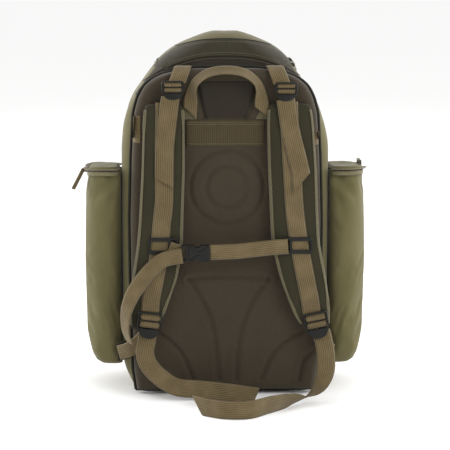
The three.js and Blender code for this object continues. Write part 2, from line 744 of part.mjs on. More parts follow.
const OUT = SLIDER.height / 2 + GAP;
const lidFront = BAG_FRONT - 26 + OUT + 2;
addZipSlider('main_left', [-8, lidFront, RIM_HEIGHT], Math.PI, 0.24);
addZipSlider('main_right', [8, lidFront, RIM_HEIGHT], Math.PI, 0.24);
addZipSlider('left_pocket', [-POCKET_OUTER + 3 - OUT, -50, POCKET_TOP], -Math.PI / 2, 0.12);
addZipSlider('right_pocket', [POCKET_OUTER - 3 + OUT, 44, POCKET_TOP], Math.PI / 2, 0.05);
addZipSlider('front_pocket', [-70, FRONT_POCKET_FACE - 4 + OUT, 300], Math.PI, 0.05);

export default pack;
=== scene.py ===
"""Tackle backpack seen from its harness side: the looks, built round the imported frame.

Metres throughout. The harness side faces -Y, +Z is up. Left and right are as seen from the
harness side. Every soft piece is made where its CAD solid lies, mostly by cutting that solid
with level planes to find its edges.
"""

import math

import bmesh
import bpy
import numpy as np
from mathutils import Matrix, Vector, noise
from mathutils.bvhtree import BVHTree


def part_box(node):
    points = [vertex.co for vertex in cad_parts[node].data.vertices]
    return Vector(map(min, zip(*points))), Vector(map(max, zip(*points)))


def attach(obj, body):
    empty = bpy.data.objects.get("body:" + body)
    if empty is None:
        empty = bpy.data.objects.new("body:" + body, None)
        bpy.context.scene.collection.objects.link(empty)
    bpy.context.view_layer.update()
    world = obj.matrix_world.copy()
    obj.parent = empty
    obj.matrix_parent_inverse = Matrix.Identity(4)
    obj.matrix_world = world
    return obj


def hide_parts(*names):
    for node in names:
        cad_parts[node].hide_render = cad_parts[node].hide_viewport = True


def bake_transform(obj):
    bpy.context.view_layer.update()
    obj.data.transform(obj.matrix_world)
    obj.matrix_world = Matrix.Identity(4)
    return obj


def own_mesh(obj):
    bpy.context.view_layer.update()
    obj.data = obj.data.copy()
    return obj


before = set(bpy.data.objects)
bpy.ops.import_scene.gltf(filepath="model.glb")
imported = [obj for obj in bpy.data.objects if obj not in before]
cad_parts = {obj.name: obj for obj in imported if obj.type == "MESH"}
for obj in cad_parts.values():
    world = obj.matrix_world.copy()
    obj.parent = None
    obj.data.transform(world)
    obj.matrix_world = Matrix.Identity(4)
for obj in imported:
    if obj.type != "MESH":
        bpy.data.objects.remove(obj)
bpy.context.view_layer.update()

MM = 0.001
WEBBING = 1.6 * MM  # thickness of all webbing
STRAP = 30 * MM  # width of the shoulder webbing
CHEST_STRAP = 25 * MM  # width of the sternum webbing
PANEL_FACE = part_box("back_panel_pad")[0].y
SIDES = {"left": -1, "right": 1}


# ---- camera -----------------------------------------------------------------------------
def add_camera():
    """A long lens, a little above the harness side and a little to its left."""
    distance, elevation, azimuth = 3.2, math.radians(9.5), math.radians(-1.5)
    aim = Vector((-1.6 * MM, PANEL_FACE, 284 * MM))
    lens = bpy.data.cameras.new("camera")
    lens.sensor_width, lens.lens = 36, 158
    camera = bpy.data.objects.new("camera", lens)
    bpy.context.scene.collection.objects.link(camera)
    level = math.cos(elevation)
    back = Vector((math.sin(azimuth) * level, -math.cos(azimuth) * level, math.sin(elevation)))
    camera.location = aim + distance * back
    camera.rotation_euler = back.to_track_quat("Z", "Y").to_euler()
    bpy.context.scene.camera = camera


add_camera()


# ---- materials ----------------------------------------------------------------------------
def srgb(red, green, blue):
    """A linear colour from display values of 0 to 255."""
    return [((c / 255 + 0.055) / 1.055) ** 2.4 for c in (red, green, blue)] + [1.0]


class Shader:
    """A material's node tree, built a node at a time."""

    def __init__(self, name, roughness, sheen=0.0, specular=0.3, metallic=0.0):
        self.material = bpy.data.materials.new(name)
        self.material.use_nodes = True
        self.tree = self.material.node_tree
        self.surface = self.tree.nodes["Principled BSDF"]
        self.surface.inputs["Roughness"].default_value = roughness
        self.surface.inputs["Sheen Weight"].default_value = sheen
        self.surface.inputs["Sheen Roughness"].default_value = 0.45
        self.surface.inputs["Specular IOR Level"].default_value = specular
        self.surface.inputs["Metallic"].default_value = metallic

    def feed(self, socket, value):
        if isinstance(value, bpy.types.NodeSocket):
            self.tree.links.new(value, socket)
        else:
            socket.default_value = value

    def node(self, kind, inputs=None, **settings):
        made = self.tree.nodes.new("ShaderNode" + kind)
        for key, value in settings.items():
            setattr(made, key, value)
        for key, value in (inputs or {}).items():
            self.feed(made.inputs[key], value)
        return made

    def math(self, operation, a, b=0.0, c=0.0):
        return self.node("Math", {0: a, 1: b, 2: c}, operation=operation).outputs[0]

    def uv(self):
        """Metres along and across a piece."""
        split = self.node("SeparateXYZ", {0: self.node("UVMap").outputs[0]})
        return split.outputs[0], split.outputs[1]

    def place(self):
        """The point's place in the frame at rest, whatever the body does."""
        return self.node("TexCoord").outputs["Object"]

    def wave(self, distance, pitch):
        """0 to 1 and back once in each pitch."""
        turn = self.math("MULTIPLY", distance, 2 * math.pi / pitch)
        return self.math("MULTIPLY_ADD", self.math("SINE", turn), 0.5, 0.5)

    def noise(self, scale, detail=3.0, roughness=0.55):
        inputs = {"Vector": self.place(), "Scale": scale, "Detail": detail, "Roughness": roughness}
        return self.node("TexNoise", inputs).outputs["Fac"]

    def span(self, value, low, high, to_low=0.0, to_high=1.0):
        inputs = {"Value": value, "From Min": low, "From Max": high, "To Min": to_low, "To Max": to_high}
        return self.node("MapRange", inputs).outputs[0]

    def mix(self, factor, a, b):
        made = self.node("Mix", {0: factor, 6: a, 7: b}, data_type="RGBA")
        return made.outputs[2]

    def finish(self, colour, height, depth, strength=1.0, roughness=None):
        bump = self.node("Bump", {"Height": height, "Distance": depth, "Strength": strength})
        self.feed(self.surface.inputs["Normal"], bump.outputs[0])
        self.feed(self.surface.inputs["Base Color"], colour)
        if roughness is not None:
            self.feed(self.surface.inputs["Roughness"], roughness)
        return self.material


def webbing_material(name, groove, ridge, faded):
    """Ribbed webbing: ridges along its length, picks across them, and a little fading."""
    s = Shader(name, roughness=0.78, sheen=0.12, specular=0.18)
    along, across = s.uv()
    ribs = s.math("POWER", s.wave(across, 3.0 * MM), 0.7)
    picks = s.wave(s.math("MULTIPLY_ADD", across, 0.4, along), 1.2 * MM)
    height = s.math("MULTIPLY_ADD", picks, 0.25, ribs)
    woven = s.mix(s.span(height, 0.1, 1.1), groove, ridge)
    fade = s.span(s.noise(38, 4), 0.42, 0.72, 0.0, 0.55)
    return s.finish(s.mix(fade, woven, faded), height, 0.5 * MM, 0.8)


def twill_material(name, dark, light, worn, pitch, sheen):
    """Coated pack cloth: a diamond weave, a broad mottle and paler worn patches."""
    s = Shader(name, roughness=0.8, sheen=sheen, specular=0.2)
    along, across = s.uv()
    one = s.wave(s.math("ADD", along, across), pitch)
    two = s.wave(s.math("SUBTRACT", along, across), pitch)
    diamonds = s.math("MULTIPLY_ADD", two, 0.45, s.math("MULTIPLY", one, 0.55))
    threads = s.math("MULTIPLY", s.wave(along, 0.9 * MM), s.wave(across, 0.9 * MM))
    height = s.math("MULTIPLY_ADD", threads, 0.3, diamonds)
    cloth = s.mix(s.span(height, 0.15, 1.05), dark, light)
    mottle = s.span(s.noise(14, 5, 0.6), 0.35, 0.7, 0.0, 0.35)
    return s.finish(s.mix(mottle, cloth, worn), height, 0.25 * MM, 0.55)


def panel_material():
    """Brushed brown-grey knit over moulded foam."""
    s = Shader("panel_knit", roughness=0.88, sheen=0.12, specular=0.12)
    along, across = s.uv()
    wales = s.wave(along, 1.5 * MM)
    courses = s.wave(across, 1.1 * MM)
    height = s.math("MULTIPLY_ADD", courses, 0.5, s.math("MULTIPLY", wales, 0.5))
    knit = s.mix(s.span(height, 0.2, 0.9), srgb(48, 42, 33), srgb(62, 55, 44))
    fluff = s.span(s.noise(220, 4, 0.7), 0.35, 0.75, 0.0, 0.4)
    brushed = s.mix(fluff, knit, srgb(68, 60, 48))
    dust = s.span(s.noise(9, 4), 0.4, 0.75, 0.0, 0.3)
    return s.finish(s.mix(dust, brushed, srgb(70, 62, 50)), height, 0.3 * MM, 0.6)


def spacer_material():
    """Airmesh: rows of small holes in a padded knit."""
    s = Shader("spacer_mesh", roughness=0.85, sheen=0.3, specular=0.15)
    along, across = s.uv()
    pitch = 2.6 * MM
    one = s.wave(s.math("ADD", along, across), pitch)
    two = s.wave(s.math("SUBTRACT", along, across), pitch)
    rim = s.math("MAXIMUM", one, two)
    height = s.span(rim, 0.35, 0.85)
    knit = s.mix(height, srgb(36, 33, 21), srgb(104, 97, 66))
    patchy = s.span(s.noise(60, 3), 0.4, 0.7, 0.0, 0.35)
    return s.finish(s.mix(patchy, knit, srgb(84, 78, 52)), height, 0.9 * MM, 0.9)


def plastic_material():
    """Moulded acetal: fine spark-eroded grain, paler where handling polished it."""
    s = Shader("buckle_plastic", roughness=0.45, specular=0.22)
    grain = s.noise(900, 3, 0.6)
    scuffs = s.span(s.noise(120, 5, 0.7), 0.52, 0.75, 0.0, 0.5)
    colour = s.mix(scuffs, srgb(17, 17, 15), srgb(38, 38, 34))
    return s.finish(colour, grain, 0.12 * MM, 0.35, s.span(scuffs, 0, 0.5, 0.36, 0.55))


def board_material(name, dark, light, roughness):
    """Ribbed stiff board or rubbery binding."""
    s = Shader(name, roughness=roughness, specular=0.25)
    grain = s.noise(420, 4, 0.65)
    colour = s.mix(s.span(grain, 0.35, 0.7), dark, light)
    return s.finish(colour, grain, 0.25 * MM, 0.5)


def metal_material():
    """Blackened zip slider with bright worn edges."""
    s = Shader("zip_metal", roughness=0.34, specular=0.5, metallic=0.85)
    scuffs = s.span(s.noise(300, 5, 0.7), 0.45, 0.7)
    colour = s.mix(scuffs, srgb(92, 88, 78), srgb(168, 160, 142))
    return s.finish(colour, scuffs, 0.08 * MM, 0.4)


def thread_material(name, dark, light):
    """Bonded sewing thread, twisted along its length."""
    s = Shader(name, roughness=0.6, sheen=0.3, specular=0.3)
    twist = s.noise(700, 2)
    return s.finish(s.mix(s.span(twist, 0.3, 0.7), dark, light), twist, 0.1 * MM, 0.5)


LOOKS = {
    "webbing": webbing_material("webbing_tan", srgb(68, 57, 37), srgb(106, 92, 64), srgb(114, 100, 72)),
    "webbing_dark": webbing_material("webbing_yoke", srgb(40, 34, 20), srgb(76, 66, 44), srgb(70, 61, 40)),
    "panel": panel_material(),
    "mesh": spacer_material(),
    "plastic": plastic_material(),
    "board": board_material("stiff_board", srgb(24, 23, 20), srgb(40, 38, 34), 0.6),
    "binding": board_material("dark_binding", srgb(26, 24, 18), srgb(46, 43, 33), 0.75),
    "metal": metal_material(),
    "thread": thread_material("thread_olive", srgb(110, 102, 72), srgb(150, 141, 108)),
    "thread_dark": thread_material("thread_dark", srgb(58, 50, 34), srgb(84, 74, 52)),
}
for cloth, (made_as, dark, light, worn, pitch, sheen) in {
    "olive": ("olive_cloth", (79, 73, 45), (104, 98, 65), (110, 104, 73), 3.6, 0.16),
    "crown": ("crown_cloth", (38, 35, 24), (54, 50, 36), (62, 57, 42), 1.6, 0.12),
    "band": ("band_cloth", (32, 28, 21), (44, 39, 30), (50, 44, 35), 1.5, 0.1),
    "pad": ("pad_cloth", (34, 31, 18), (47, 43, 27), (54, 50, 33), 1.5, 0.1),
    "lining": ("lining_cloth", (52, 50, 40), (70, 67, 54), (76, 72, 58), 2.2, 0.15),
    "tape": ("zip_tape", (88, 82, 58), (128, 120, 92), (120, 112, 84), 1.2, 0.2),
}.items():
    LOOKS[cloth] = twill_material(made_as, srgb(*dark), srgb(*light), srgb(*worn), pitch * MM, sheen)


# ---- meshes ---------------------------------------------------------------------------------
class Mesh:
    """Points, faces, a UV for each face corner, and each face's material number."""

    def __init__(self):
        self.points, self.faces, self.corners, self.looks = [], [], [], []
        self.count = 0

    def add(self, points, faces, corners, look=0):
        self.points.append(np.asarray(points, float).reshape(-1, 3))
        self.faces += [tuple(int(i) + self.count for i in face) for face in faces]
        self.corners += [tuple(uv) for uv in corners]
        self.looks += list(look) if hasattr(look, "__len__") else [look] * len(faces)
        self.count += len(self.points[-1])
        return self

    def grid(self, grid, uv, wrap=False, look=0):
        """Quads over rows of points. uv has one more column than the grid where it wraps."""
        rows, columns = grid.shape[:2]
        r, c = np.meshgrid(np.arange(rows - 1), np.arange(columns if wrap else columns - 1), indexing="ij")
        n = (c + 1) % columns
        row, above = r * columns, (r + 1) * columns
        faces = np.stack([row + c, row + n, above + n, above + c], -1)
        corners = np.stack([uv[r, c], uv[r, c + 1], uv[r + 1, c + 1], uv[r + 1, c]], 2)
        return self.add(grid, faces.reshape(-1, 4), corners.reshape(-1, 2), look)

    def fan(self, ring, look=0):
        """Closes a ring with triangles to its middle."""
        n = len(ring)
        middle = ring.mean(0)
        faces = [(i, (i + 1) % n, n) for i in range(n)]
        corners = [p for i in range(n) for p in (ring[i, :2], ring[(i + 1) % n, :2], middle[:2])]
        return self.add(np.vstack([ring, middle]), faces, corners, look)

    def build(self, name, *looks, weld=0.0):
        data = bpy.data.meshes.new(name)
        data.from_pydata(np.vstack(self.points).tolist(), [], self.faces)
        layer = data.uv_layers.new(name="UVMap")
        layer.data.foreach_set("uv", np.array(self.corners, np.float32).ravel())
        data.polygons.foreach_set("material_index", self.looks)
        for look in looks:
            data.materials.append(LOOKS[look])
        work = bmesh.new()
        work.from_mesh(data)
        if weld:
            bmesh.ops.remove_doubles(work, verts=work.verts, dist=weld)
        bmesh.ops.recalc_face_normals(work, faces=work.faces)
        work.to_mesh(data)
        work.free()
        data.polygons.foreach_set("use_smooth", [True] * len(data.polygons))
        piece = bpy.data.objects.new(name, data)
        bpy.context.scene.collection.objects.link(piece)
        return piece


class Solid:
    """A CAD node at rest, cut by level planes to find how far it reaches there."""

    def __init__(self, node):
        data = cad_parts[node].data
        self.points = np.array([v.co for v in data.vertices], float)
        self.edges = np.array([e.vertices for e in data.edges], int)
        self.low, self.high = self.points.min(0), self.points.max(0)

    def extent(self, z):
        """xMin, xMax, yMin, yMax of the cut at that height."""
        z = min(max(z, self.low[2] + 0.05 * MM), self.high[2] - 0.05 * MM)
        a, b = self.points[self.edges[:, 0]], self.points[self.edges[:, 1]]
        cut = (a[:, 2] - z) * (b[:, 2] - z) < 0
        a, b = a[cut], b[cut]
        p = a + ((z - a[:, 2]) / (b[:, 2] - a[:, 2]))[:, None] * (b - a)
        return p[:, 0].min(), p[:, 0].max(), p[:, 1].min(), p[:, 1].max()

    def extents(self, heights, soften=12 * MM):
        """The same for many heights, with the CAD's facets softened."""
        spread = np.linspace(-soften, soften, 7)
        rows = [np.mean([self.extent(z + d) for d in self.inside(z, spread)], 0) for z in heights]
        return np.array(rows)

    def inside(self, z, spread):
        room = min(z - self.low[2], self.high[2] - z)
        return spread * min(1.0, max(room, 0) / spread.max())


class Surface:
    """A finished piece's surface, to lay stitches and strips on."""

    def __init__(self, piece):
        points = [v.co for v in piece.data.vertices]
        faces = [tuple(p.vertices) for p in piece.data.polygons]
        self.tree = BVHTree.FromPolygons(points, faces)

    def hit(self, start, direction):
        place, normal, _, _ = self.tree.ray_cast(Vector(start), Vector(direction))
        if place is None:
            place, normal, _, _ = self.tree.find_nearest(Vector(start))
        if normal.dot(Vector(direction)) > 0:
            normal = -normal
        return np.array(place), np.array(normal)

    def from_front(self, x, z, start=-0.4):
        return self.hit((x, start, z), (0, 1, 0))


def distances(points):
    """How far along a path each of its points lies."""
    return np.concatenate([[0], np.cumsum(np.linalg.norm(np.diff(points, axis=0), axis=1))])


def along_path(at, along, values):
    """A path's values, column by column, at distances along it."""
    return np.stack([np.interp(at, along, values[:, k]) for k in range(values.shape[1])], 1)


def even_ring(outline, count):
    """count points spaced evenly along a closed outline, and how far along each lies."""
    closed = np.vstack([outline, outline[:1]])
    along = distances(closed)
    at = np.linspace(0, along[-1], count + 1)
    return along_path(at, along, closed)[:-1], at


def rounded_rectangle(x0, x1, y0, y1, radius, steps=10):
    """An outline that starts at the middle of the rear face and runs to the right."""
    radius = min(radius, (x1 - x0) / 2 - 1e-5, (y1 - y0) / 2 - 1e-5)
    corners = [(x1 - radius, y0 + radius, -90), (x1 - radius, y1 - radius, 0),
               (x0 + radius, y1 - radius, 90), (x0 + radius, y0 + radius, 180)]
    points = [((x0 + x1) / 2, y0)]
    for x, y, start in corners:
        turns = np.radians(start + 90 * np.arange(steps + 1) / steps)
        points += list(zip(x + radius * np.cos(turns), y + radius * np.sin(turns)))
    return np.array(points)


def shell(levels, count):
    """Rings of count points at levels of (z, xMin, xMax, yMin, yMax, radius), with their UVs."""
    grid, uv, height = [], [], 0.0
    for z, *outline in levels:
        ring, along = even_ring(rounded_rectangle(*outline), count)
        row = np.column_stack([ring, np.full(count, z)])
        if grid:
            height += np.linalg.norm(row - grid[-1], axis=1).mean()
        grid.append(row)
        uv.append(np.column_stack([along - along[-1] / 2, np.full(count + 1, height)]))
    return np.array(grid), np.array(uv)


def grid_normals(grid):
    """Normals of a wrapped grid of points: across the columns, then up the rows."""
    across = np.roll(grid, -1, 1) - np.roll(grid, 1, 1)
    normals = np.cross(across, np.gradient(grid, axis=0))
    return normals / np.maximum(np.linalg.norm(normals, axis=2, keepdims=True), 1e-12)


def thick_shell(name, outer, uv, wall, looks, zones=None):
    """A cup or dome of cloth: an outer skin, a lining inside it, and a turned rim between them."""
    inner = outer - wall * grid_normals(outer)
    rim = (outer[-1] + inner[-1]) / 2
    rim[:, 2] += np.sign(outer[-1, 0, 2] - outer[0, 0, 2]) * wall * 0.4
    made = Mesh()
    made.grid(np.vstack([outer, rim[None]]), np.concatenate([uv, uv[-1:] + [0, wall]]), True,
              0 if zones is None else zones(outer))
    lining = len(looks) - 1
    made.grid(np.vstack([rim[None], inner[::-1]]), np.concatenate([uv[-1:], uv[::-1]]), True, lining)
    made.fan(outer[0])
    made.fan(inner[0], lining)
    return made.build(name, *looks, weld=0.02 * MM)


# ---- cloth --------------------------------------------------------------------------------------
def puffed(points, faces, pinned, cap, pressure=4.0, shrink=0.0, frames=18):
    """Where a closed skin of cloth comes to rest under pressure from inside.

    Pinned points stay, and no point moves further than cap. shrink below 0 leaves spare cloth
    that wrinkles between the pinned points.
    """
    scene = bpy.context.scene
    data = bpy.data.meshes.new("cloth")
    data.from_pydata(points.tolist(), [], [tuple(f) for f in faces])
    body = bpy.data.objects.new("cloth", data)
    scene.collection.objects.link(body)
    group = body.vertex_groups.new(name="pin")
    group.add([int(i) for i in np.flatnonzero(pinned)], 1.0, "REPLACE")
    cloth = body.modifiers.new("cloth", "CLOTH")
    cloth.settings.quality = 4
    cloth.settings.use_pressure = True
    cloth.settings.uniform_pressure_force = pressure
    cloth.settings.vertex_group_mass = "pin"
    cloth.settings.shrink_min = shrink
    cloth.settings.effector_weights.gravity = 0
    cloth.collision_settings.use_self_collision = False
    cloth.point_cache.frame_start, cloth.point_cache.frame_end = 1, frames
    for step in range(1, frames + 1):
        scene.frame_set(step)
    rested = body.evaluated_get(bpy.context.evaluated_depsgraph_get()).to_mesh()
    moved = np.array([v.co for v in rested.vertices], float) - points
    bpy.data.objects.remove(body)
    scene.frame_set(1)
    far = np.linalg.norm(moved, axis=1, keepdims=True)
    return points + moved * np.minimum(1, cap / np.maximum(far, 1e-9))


def puffed_grid(grid, pinned, cap, **settings):
    """The same for a wrapped grid of rings, closed at both ends with a fan."""
    rows, columns = grid.shape[:2]
    closed = Mesh().grid(grid, np.zeros((rows, columns + 1, 2)), True)
    for ring in (0, rows - 1):
        middle = closed.count
        closed.points.append(grid[ring].mean(0)[None])
        closed.count += 1
        start = ring * columns
        spokes = [(start + i, start + (i + 1) % columns, middle) for i in range(columns)]
        closed.faces += [s[::-1] for s in spokes] if ring == 0 else spokes
    points = np.vstack(closed.points)
    hold = np.concatenate([pinned.ravel(), [True, True]])
    return puffed(points, closed.faces, hold, cap, **settings)[: rows * columns].reshape(grid.shape)


def ruffle(points, scale, seed):
    """Smooth noise from -1 to 1 at each point."""
    shift = Vector((seed, 0, 0))
    values = [noise.noise(Vector(p * scale) + shift) for p in points.reshape(-1, 3)]
    return np.array(values).reshape(points.shape[:-1])


def fold(points, start, end, width, depth):
    """How far a fold from start to end lifts each point: a groove with a ridge below it."""
    start, end = np.array(start), np.array(end)
    way = end - start
    length = np.linalg.norm(way)
    t = (points - start) @ way / length**2
    nearest = start + np.clip(t, 0, 1)[..., None] * way
    off = points - nearest
    down = np.cross(way / length, np.cross([0, 0, -1.0], way / length))
    side = off @ (down / max(np.linalg.norm(down), 1e-9))
    far = np.linalg.norm(off, axis=-1)
    fading = np.clip(1 - np.clip(t, 0, 1), 0, 1) ** 0.7
    groove = np.exp(-((far / width) ** 2))
    ridge = 0.7 * np.exp(-(((side - 1.7 * width) / width) ** 2)) * np.exp(-((far / (3 * width)) ** 2))
    return depth * fading * (ridge - groove)


# ---- webbing ------------------------------------------------------------------------------------
def curve_through(points, count):
    """count + 1 points on the smooth curve through the route's points."""
    p = np.array(points, float)
    p = np.vstack([2 * p[0] - p[1], p, 2 * p[-1] - p[-2]])
    out = []
    for t in np.linspace(0, len(p) - 3, count + 1):
        i = min(int(t), len(p) - 4)
        w = t - i
        a, b, c, d = p[i : i + 4]
        m0, m1 = (c - a) / 2, (d - b) / 2
        out.append(b + m0 * w + (3 * (c - b) - 2 * m0 - m1) * w**2 + (2 * (b - c) + m0 + m1) * w**3)
    return np.array(out)


def unit(vectors):
    return vectors / np.maximum(np.linalg.norm(vectors, axis=-1, keepdims=True), 1e-12)


def ribbon_frame(centres, sides, sheared=False):
    """Unit vectors along, across and out of a ribbon at each of its centres."""
    tangents = unit(np.gradient(centres, axis=0))
    across = unit(sides if sheared else sides - (sides * tangents).sum(1, keepdims=True) * tangents)
    return tangents, across, np.cross(tangents, across)


def ribbon_grid(centres, sides, width, thickness, slants=(0.0, 0.0), cells=10, cup=0.0, sheared=False):
    """Rings round a ribbon of webbing. slants cut its ends at a slope; cup curls its edges."""
    tangents, across, out = ribbon_frame(centres, sides, sheared)
    widths = np.broadcast_to(np.asarray(width, float), len(centres))
    s = np.concatenate([np.linspace(-1, 1, cells + 1), np.linspace(1, -1, cells + 1)[1:-1]])
    top = np.concatenate([np.ones(cells + 1), -np.ones(cells - 1)])
    lift = top * thickness / 2 * np.sqrt(np.maximum(1 - np.abs(s) ** 12, 0))
    along = distances(centres)
    reach = 1.2 * widths[:, None]
    first = np.clip(1 - along[:, None] / reach, 0, 1)
    last = np.clip(1 - (along[-1] - along[:, None]) / reach, 0, 1)
    u = s[None] * widths[:, None] / 2
    shift = (slants[0] * first**2 + slants[1] * last**2) * u
    grid = centres[:, None] + u[..., None] * across[:, None] + shift[..., None] * tangents[:, None]
    grid = grid + (lift[None] + cup * s[None] ** 2)[..., None] * out[:, None]
    wrapped = np.concatenate([s, s[:1]])
    uv = np.stack([np.repeat(along[:, None], len(wrapped), 1), wrapped[None] * widths[:, None] / 2], -1)
    uv[:, :-1, 0] += shift
    uv[:, -1, 0] += shift[:, 0]
    return grid, uv


def ribbon(name, body, centres, sides, width, look="webbing", thickness=WEBBING, replaces=None, **shape):
    """A strap of webbing as one closed piece on a body."""
    grid, uv = ribbon_grid(centres, sides, width, thickness, **shape)
    piece = Mesh().grid(grid, uv, True).fan(grid[0]).fan(grid[-1]).build(name, look, weld=0.02 * MM)
    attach(piece, body)
    if replaces:
        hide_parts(replaces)
    return piece


def stitches(name, body, runs, look="thread", pitch=4.2 * MM, length=3.0 * MM, radius=0.42 * MM):
    """Rows of sewing stitches. Each run is (points, normals) along a surface."""
    made = Mesh()
    shape = np.array([[-1, 0, 0], [1, 0, 0], [0, 1, 0], [0, -1, 0], [0, 0, 1], [0, 0, -1]], float)
    faces = [(0, 4, 2), (0, 2, 5), (0, 5, 3), (0, 3, 4), (1, 2, 4), (1, 5, 2), (1, 3, 5), (1, 4, 3)]
    for points, normals in runs:
        points, normals = np.asarray(points), np.asarray(normals)
        along = distances(points)
        at = np.arange(pitch / 2, along[-1], pitch)
        centre = along_path(at, along, points)
        normal = unit(along_path(at, along, normals))
        way = unit(along_path(at + pitch / 4, along, points) - along_path(at - pitch / 4, along, points))
        side = np.cross(way, normal)
        scale = np.array([length / 2, radius, radius])
        for c, w, d, n in zip(centre, way, side, normal):
            made.add(c + (shape * scale) @ np.array([w, d, n]), faces, [(0, 0)] * 24)
    piece = made.build(name, look)
    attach(piece, body)
    return piece


def millimetres(*points):
    """A route of (x, y, z, width direction) as its points and its directions."""
    table = np.array(points, float)
    return table[:, :3] * MM, table[:, 3:]


LEFT_TAIL = millimetres(
    (-127, -131.5, 113, 1, 0, 0.1),
    (-129, -135.6, 98, 1, 0, 0.2),
    (-132, -143, 82, 0.95, 0.2, 0.3),
    (-127, -149, 64, 0.8, 0.1, 0.6),
    (-111, -151, 45, 0.5, 0, 0.85),
    (-82, -148, 25, 0.2, 0, 1),
    (-42, -145, 19.6, 0.1, 0, 1),
    (6, -155, 16.6, 0, 0, 1),
    (47, -176, 15.6, 0, 0, 1),
)
RIGHT_TAIL = millimetres(
    (154, -130.5, 113, 1, 0, -0.2),
    (158, -135.5, 97, 1, 0, -0.1),
    (161, -150, 74, 1, -0.1, 0),
    (158, -166, 50, 0.9, -0.3, 0),
    (145, -172, 25, 0.55, -0.8, 0),
    (124, -180, 13, 0, -0.95, 0.3),
    (100, -200, 14, 0, -0.6, 0.8),
    (66, -236, 17.1, 0, -0.2, 1),
    (34, -260, 15.6, 0, 0, 1),
    (-5, -261, 15.6, 0, 0, 1),
    (-32, -245, 15.6, 0, 0, 1),
    (-49, -229, 15.6, 0, 0, 1),
)
CHEST_TAIL = millimetres(
    (-71, -151.6, 241, 0, 0, 1),
    (-86, -152, 239, -0.1, 0, 1),
    (-104, -151, 233, -0.35, 0, 0.94),
    (-127, -149, 212, -0.65, 0.05, 0.75),
    (-149, -147, 181, -0.8, 0.3, 0.5),
    (-160, -146, 156, -0.75, 0.6, 0.3),
    (-164, -144, 134, -0.6, 0.8, 0.1),
    (-163, -142, 114, -0.5, 0.85, 0),
    (-157, -140, 97, -0.45, 0.9, 0),
)


def add_tail(name, node, body, route, width, slant):
    """A loose end of webbing: a flat ribbon along its route."""
    steps = 16 * len(route[0])
    centres, sides = curve_through(route[0], steps), curve_through(route[1], steps)
    piece = ribbon(name, body, centres, sides, width, replaces=node, slants=(0, slant))


add_tail("left_tail_webbing", "left_long_tail", "bag", LEFT_TAIL, STRAP, 0.4)
add_tail("right_tail_webbing", "right_long_tail", "bag", RIGHT_TAIL, STRAP, 0.75)
add_tail("chest_tail_webbing", "chest_tail", "left_chest", CHEST_TAIL, CHEST_STRAP, -0.2)


# ---- the bag ------------------------------------------------------------------------------------
LID_SEAM = {"top": 581 * MM, "drop": 17.5 * MM, "half": 90 * MM}  # olive crown above it
BAND_SEAM = {"top": 555.4 * MM, "drop": 40 * MM, "half": 129 * MM}  # brown rear cloth below it
BAND_FOOT = 0.49  # the brown cloth ends at this height
BAG_REAR, LID_REAR = -48 * MM, -30 * MM  # the dark cloths lie behind these planes
MOUTH_RADIUS = 48 * MM  # corner radius of the bag's mouth and the lid's rim
SHOULDER = 0.505  # height at which the pack leans most
CLOTH_WALL = 2.4 * MM  # outer cloth, foam and lining of the bag and lid
POCKET_WALL = 2.0 * MM
RING_POINTS = 180  # points round each ring of the bag and lid


def arc_height(arc, x):
    """Height of an arched seam at x."""
    return arc["top"] - arc["drop"] * (np.abs(x) / arc["half"]) ** 2.5


def face_places(grid):
    """Middles of the faces of a wrapped grid that ends in a rim row."""
    rows = np.concatenate([grid, grid[-1:]])
    across = (rows + np.roll(rows, -1, 1)) / 2
    return ((across[1:] + across[:-1]) / 2).reshape(-1, 3)


def band_zones(grid, depth=BAG_REAR):
    """1 on the dark cloth between the two arched seams, 2 on the brown cloth below them, 0 elsewhere."""
    p = face_places(grid)
    rear = p[:, 1] < depth
    band = rear & (p[:, 2] < arc_height(LID_SEAM, p[:, 0]))
    below = band & (p[:, 2] < arc_height(BAND_SEAM, p[:, 0])) & (p[:, 2] > BAND_FOOT)
    band &= p[:, 2] > arc_height(BAND_SEAM, p[:, 0]) - 3 * MM
    return np.where(below, 2, band.astype(int))


def levels_of(node, heights, radii, inset=0.5 * MM):
    """Levels for shell() that follow a CAD node."""
    boxes = Solid(node).extents(heights)
    corners = np.interp(heights, *zip(*radii))
    return [(z, x0 + inset, x1 - inset, y0 + inset, y1 - inset, corner)
            for z, (x0, x1, y0, y1), corner in zip(heights, boxes, corners)]


def lopsided(grid):
    """The pack slumps a little to the left: its right shoulder is fuller inside than outside."""
    shoulder = np.exp(-(((grid[..., 2] - SHOULDER) / 0.05) ** 2))
    x = grid[..., 0]
    grid[..., 0] = x - shoulder * np.where(x > 0, 4.0, 1.5) * MM * np.clip(np.abs(x) / 0.1, 0, 1)
    return grid


def build_bag():
    low, high = (v.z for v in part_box("bag_shell"))
    heights = np.linspace(low + 0.3 * MM, high - 0.3 * MM, 92)
    radii = [(low, 22 * MM), (0.045, 30 * MM), (0.408, 30 * MM), (0.471, 38 * MM), (high, MOUTH_RADIUS)]
    outer, uv = shell(levels_of("bag_shell", heights, radii), RING_POINTS)
    slack = np.clip((outer[..., 2] - 0.39) / 0.05, 0, 1) * np.clip((high - outer[..., 2]) / 0.05, 0, 1)
    free = slack * np.clip((outer[..., 1] + 0.079) / 0.02, 0, 1)
    sag = 2.2 * MM * ruffle(outer, 14, 3) + 0.8 * MM * ruffle(outer * [1, 1, 0.5], 34, 5)
    lean = 3.0 * MM * np.sin(np.clip((outer[..., 2] - 0.39) / (high - 0.39), 0, 1) * math.pi)
    outer = lopsided(outer + ((sag + lean) * free)[..., None] * grid_normals(outer))
    piece = thick_shell("bag_body", outer, uv, CLOTH_WALL, ["olive", "crown", "band", "lining"], band_zones)
    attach(piece, "bag")
    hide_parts("bag_shell")
    return piece, outer


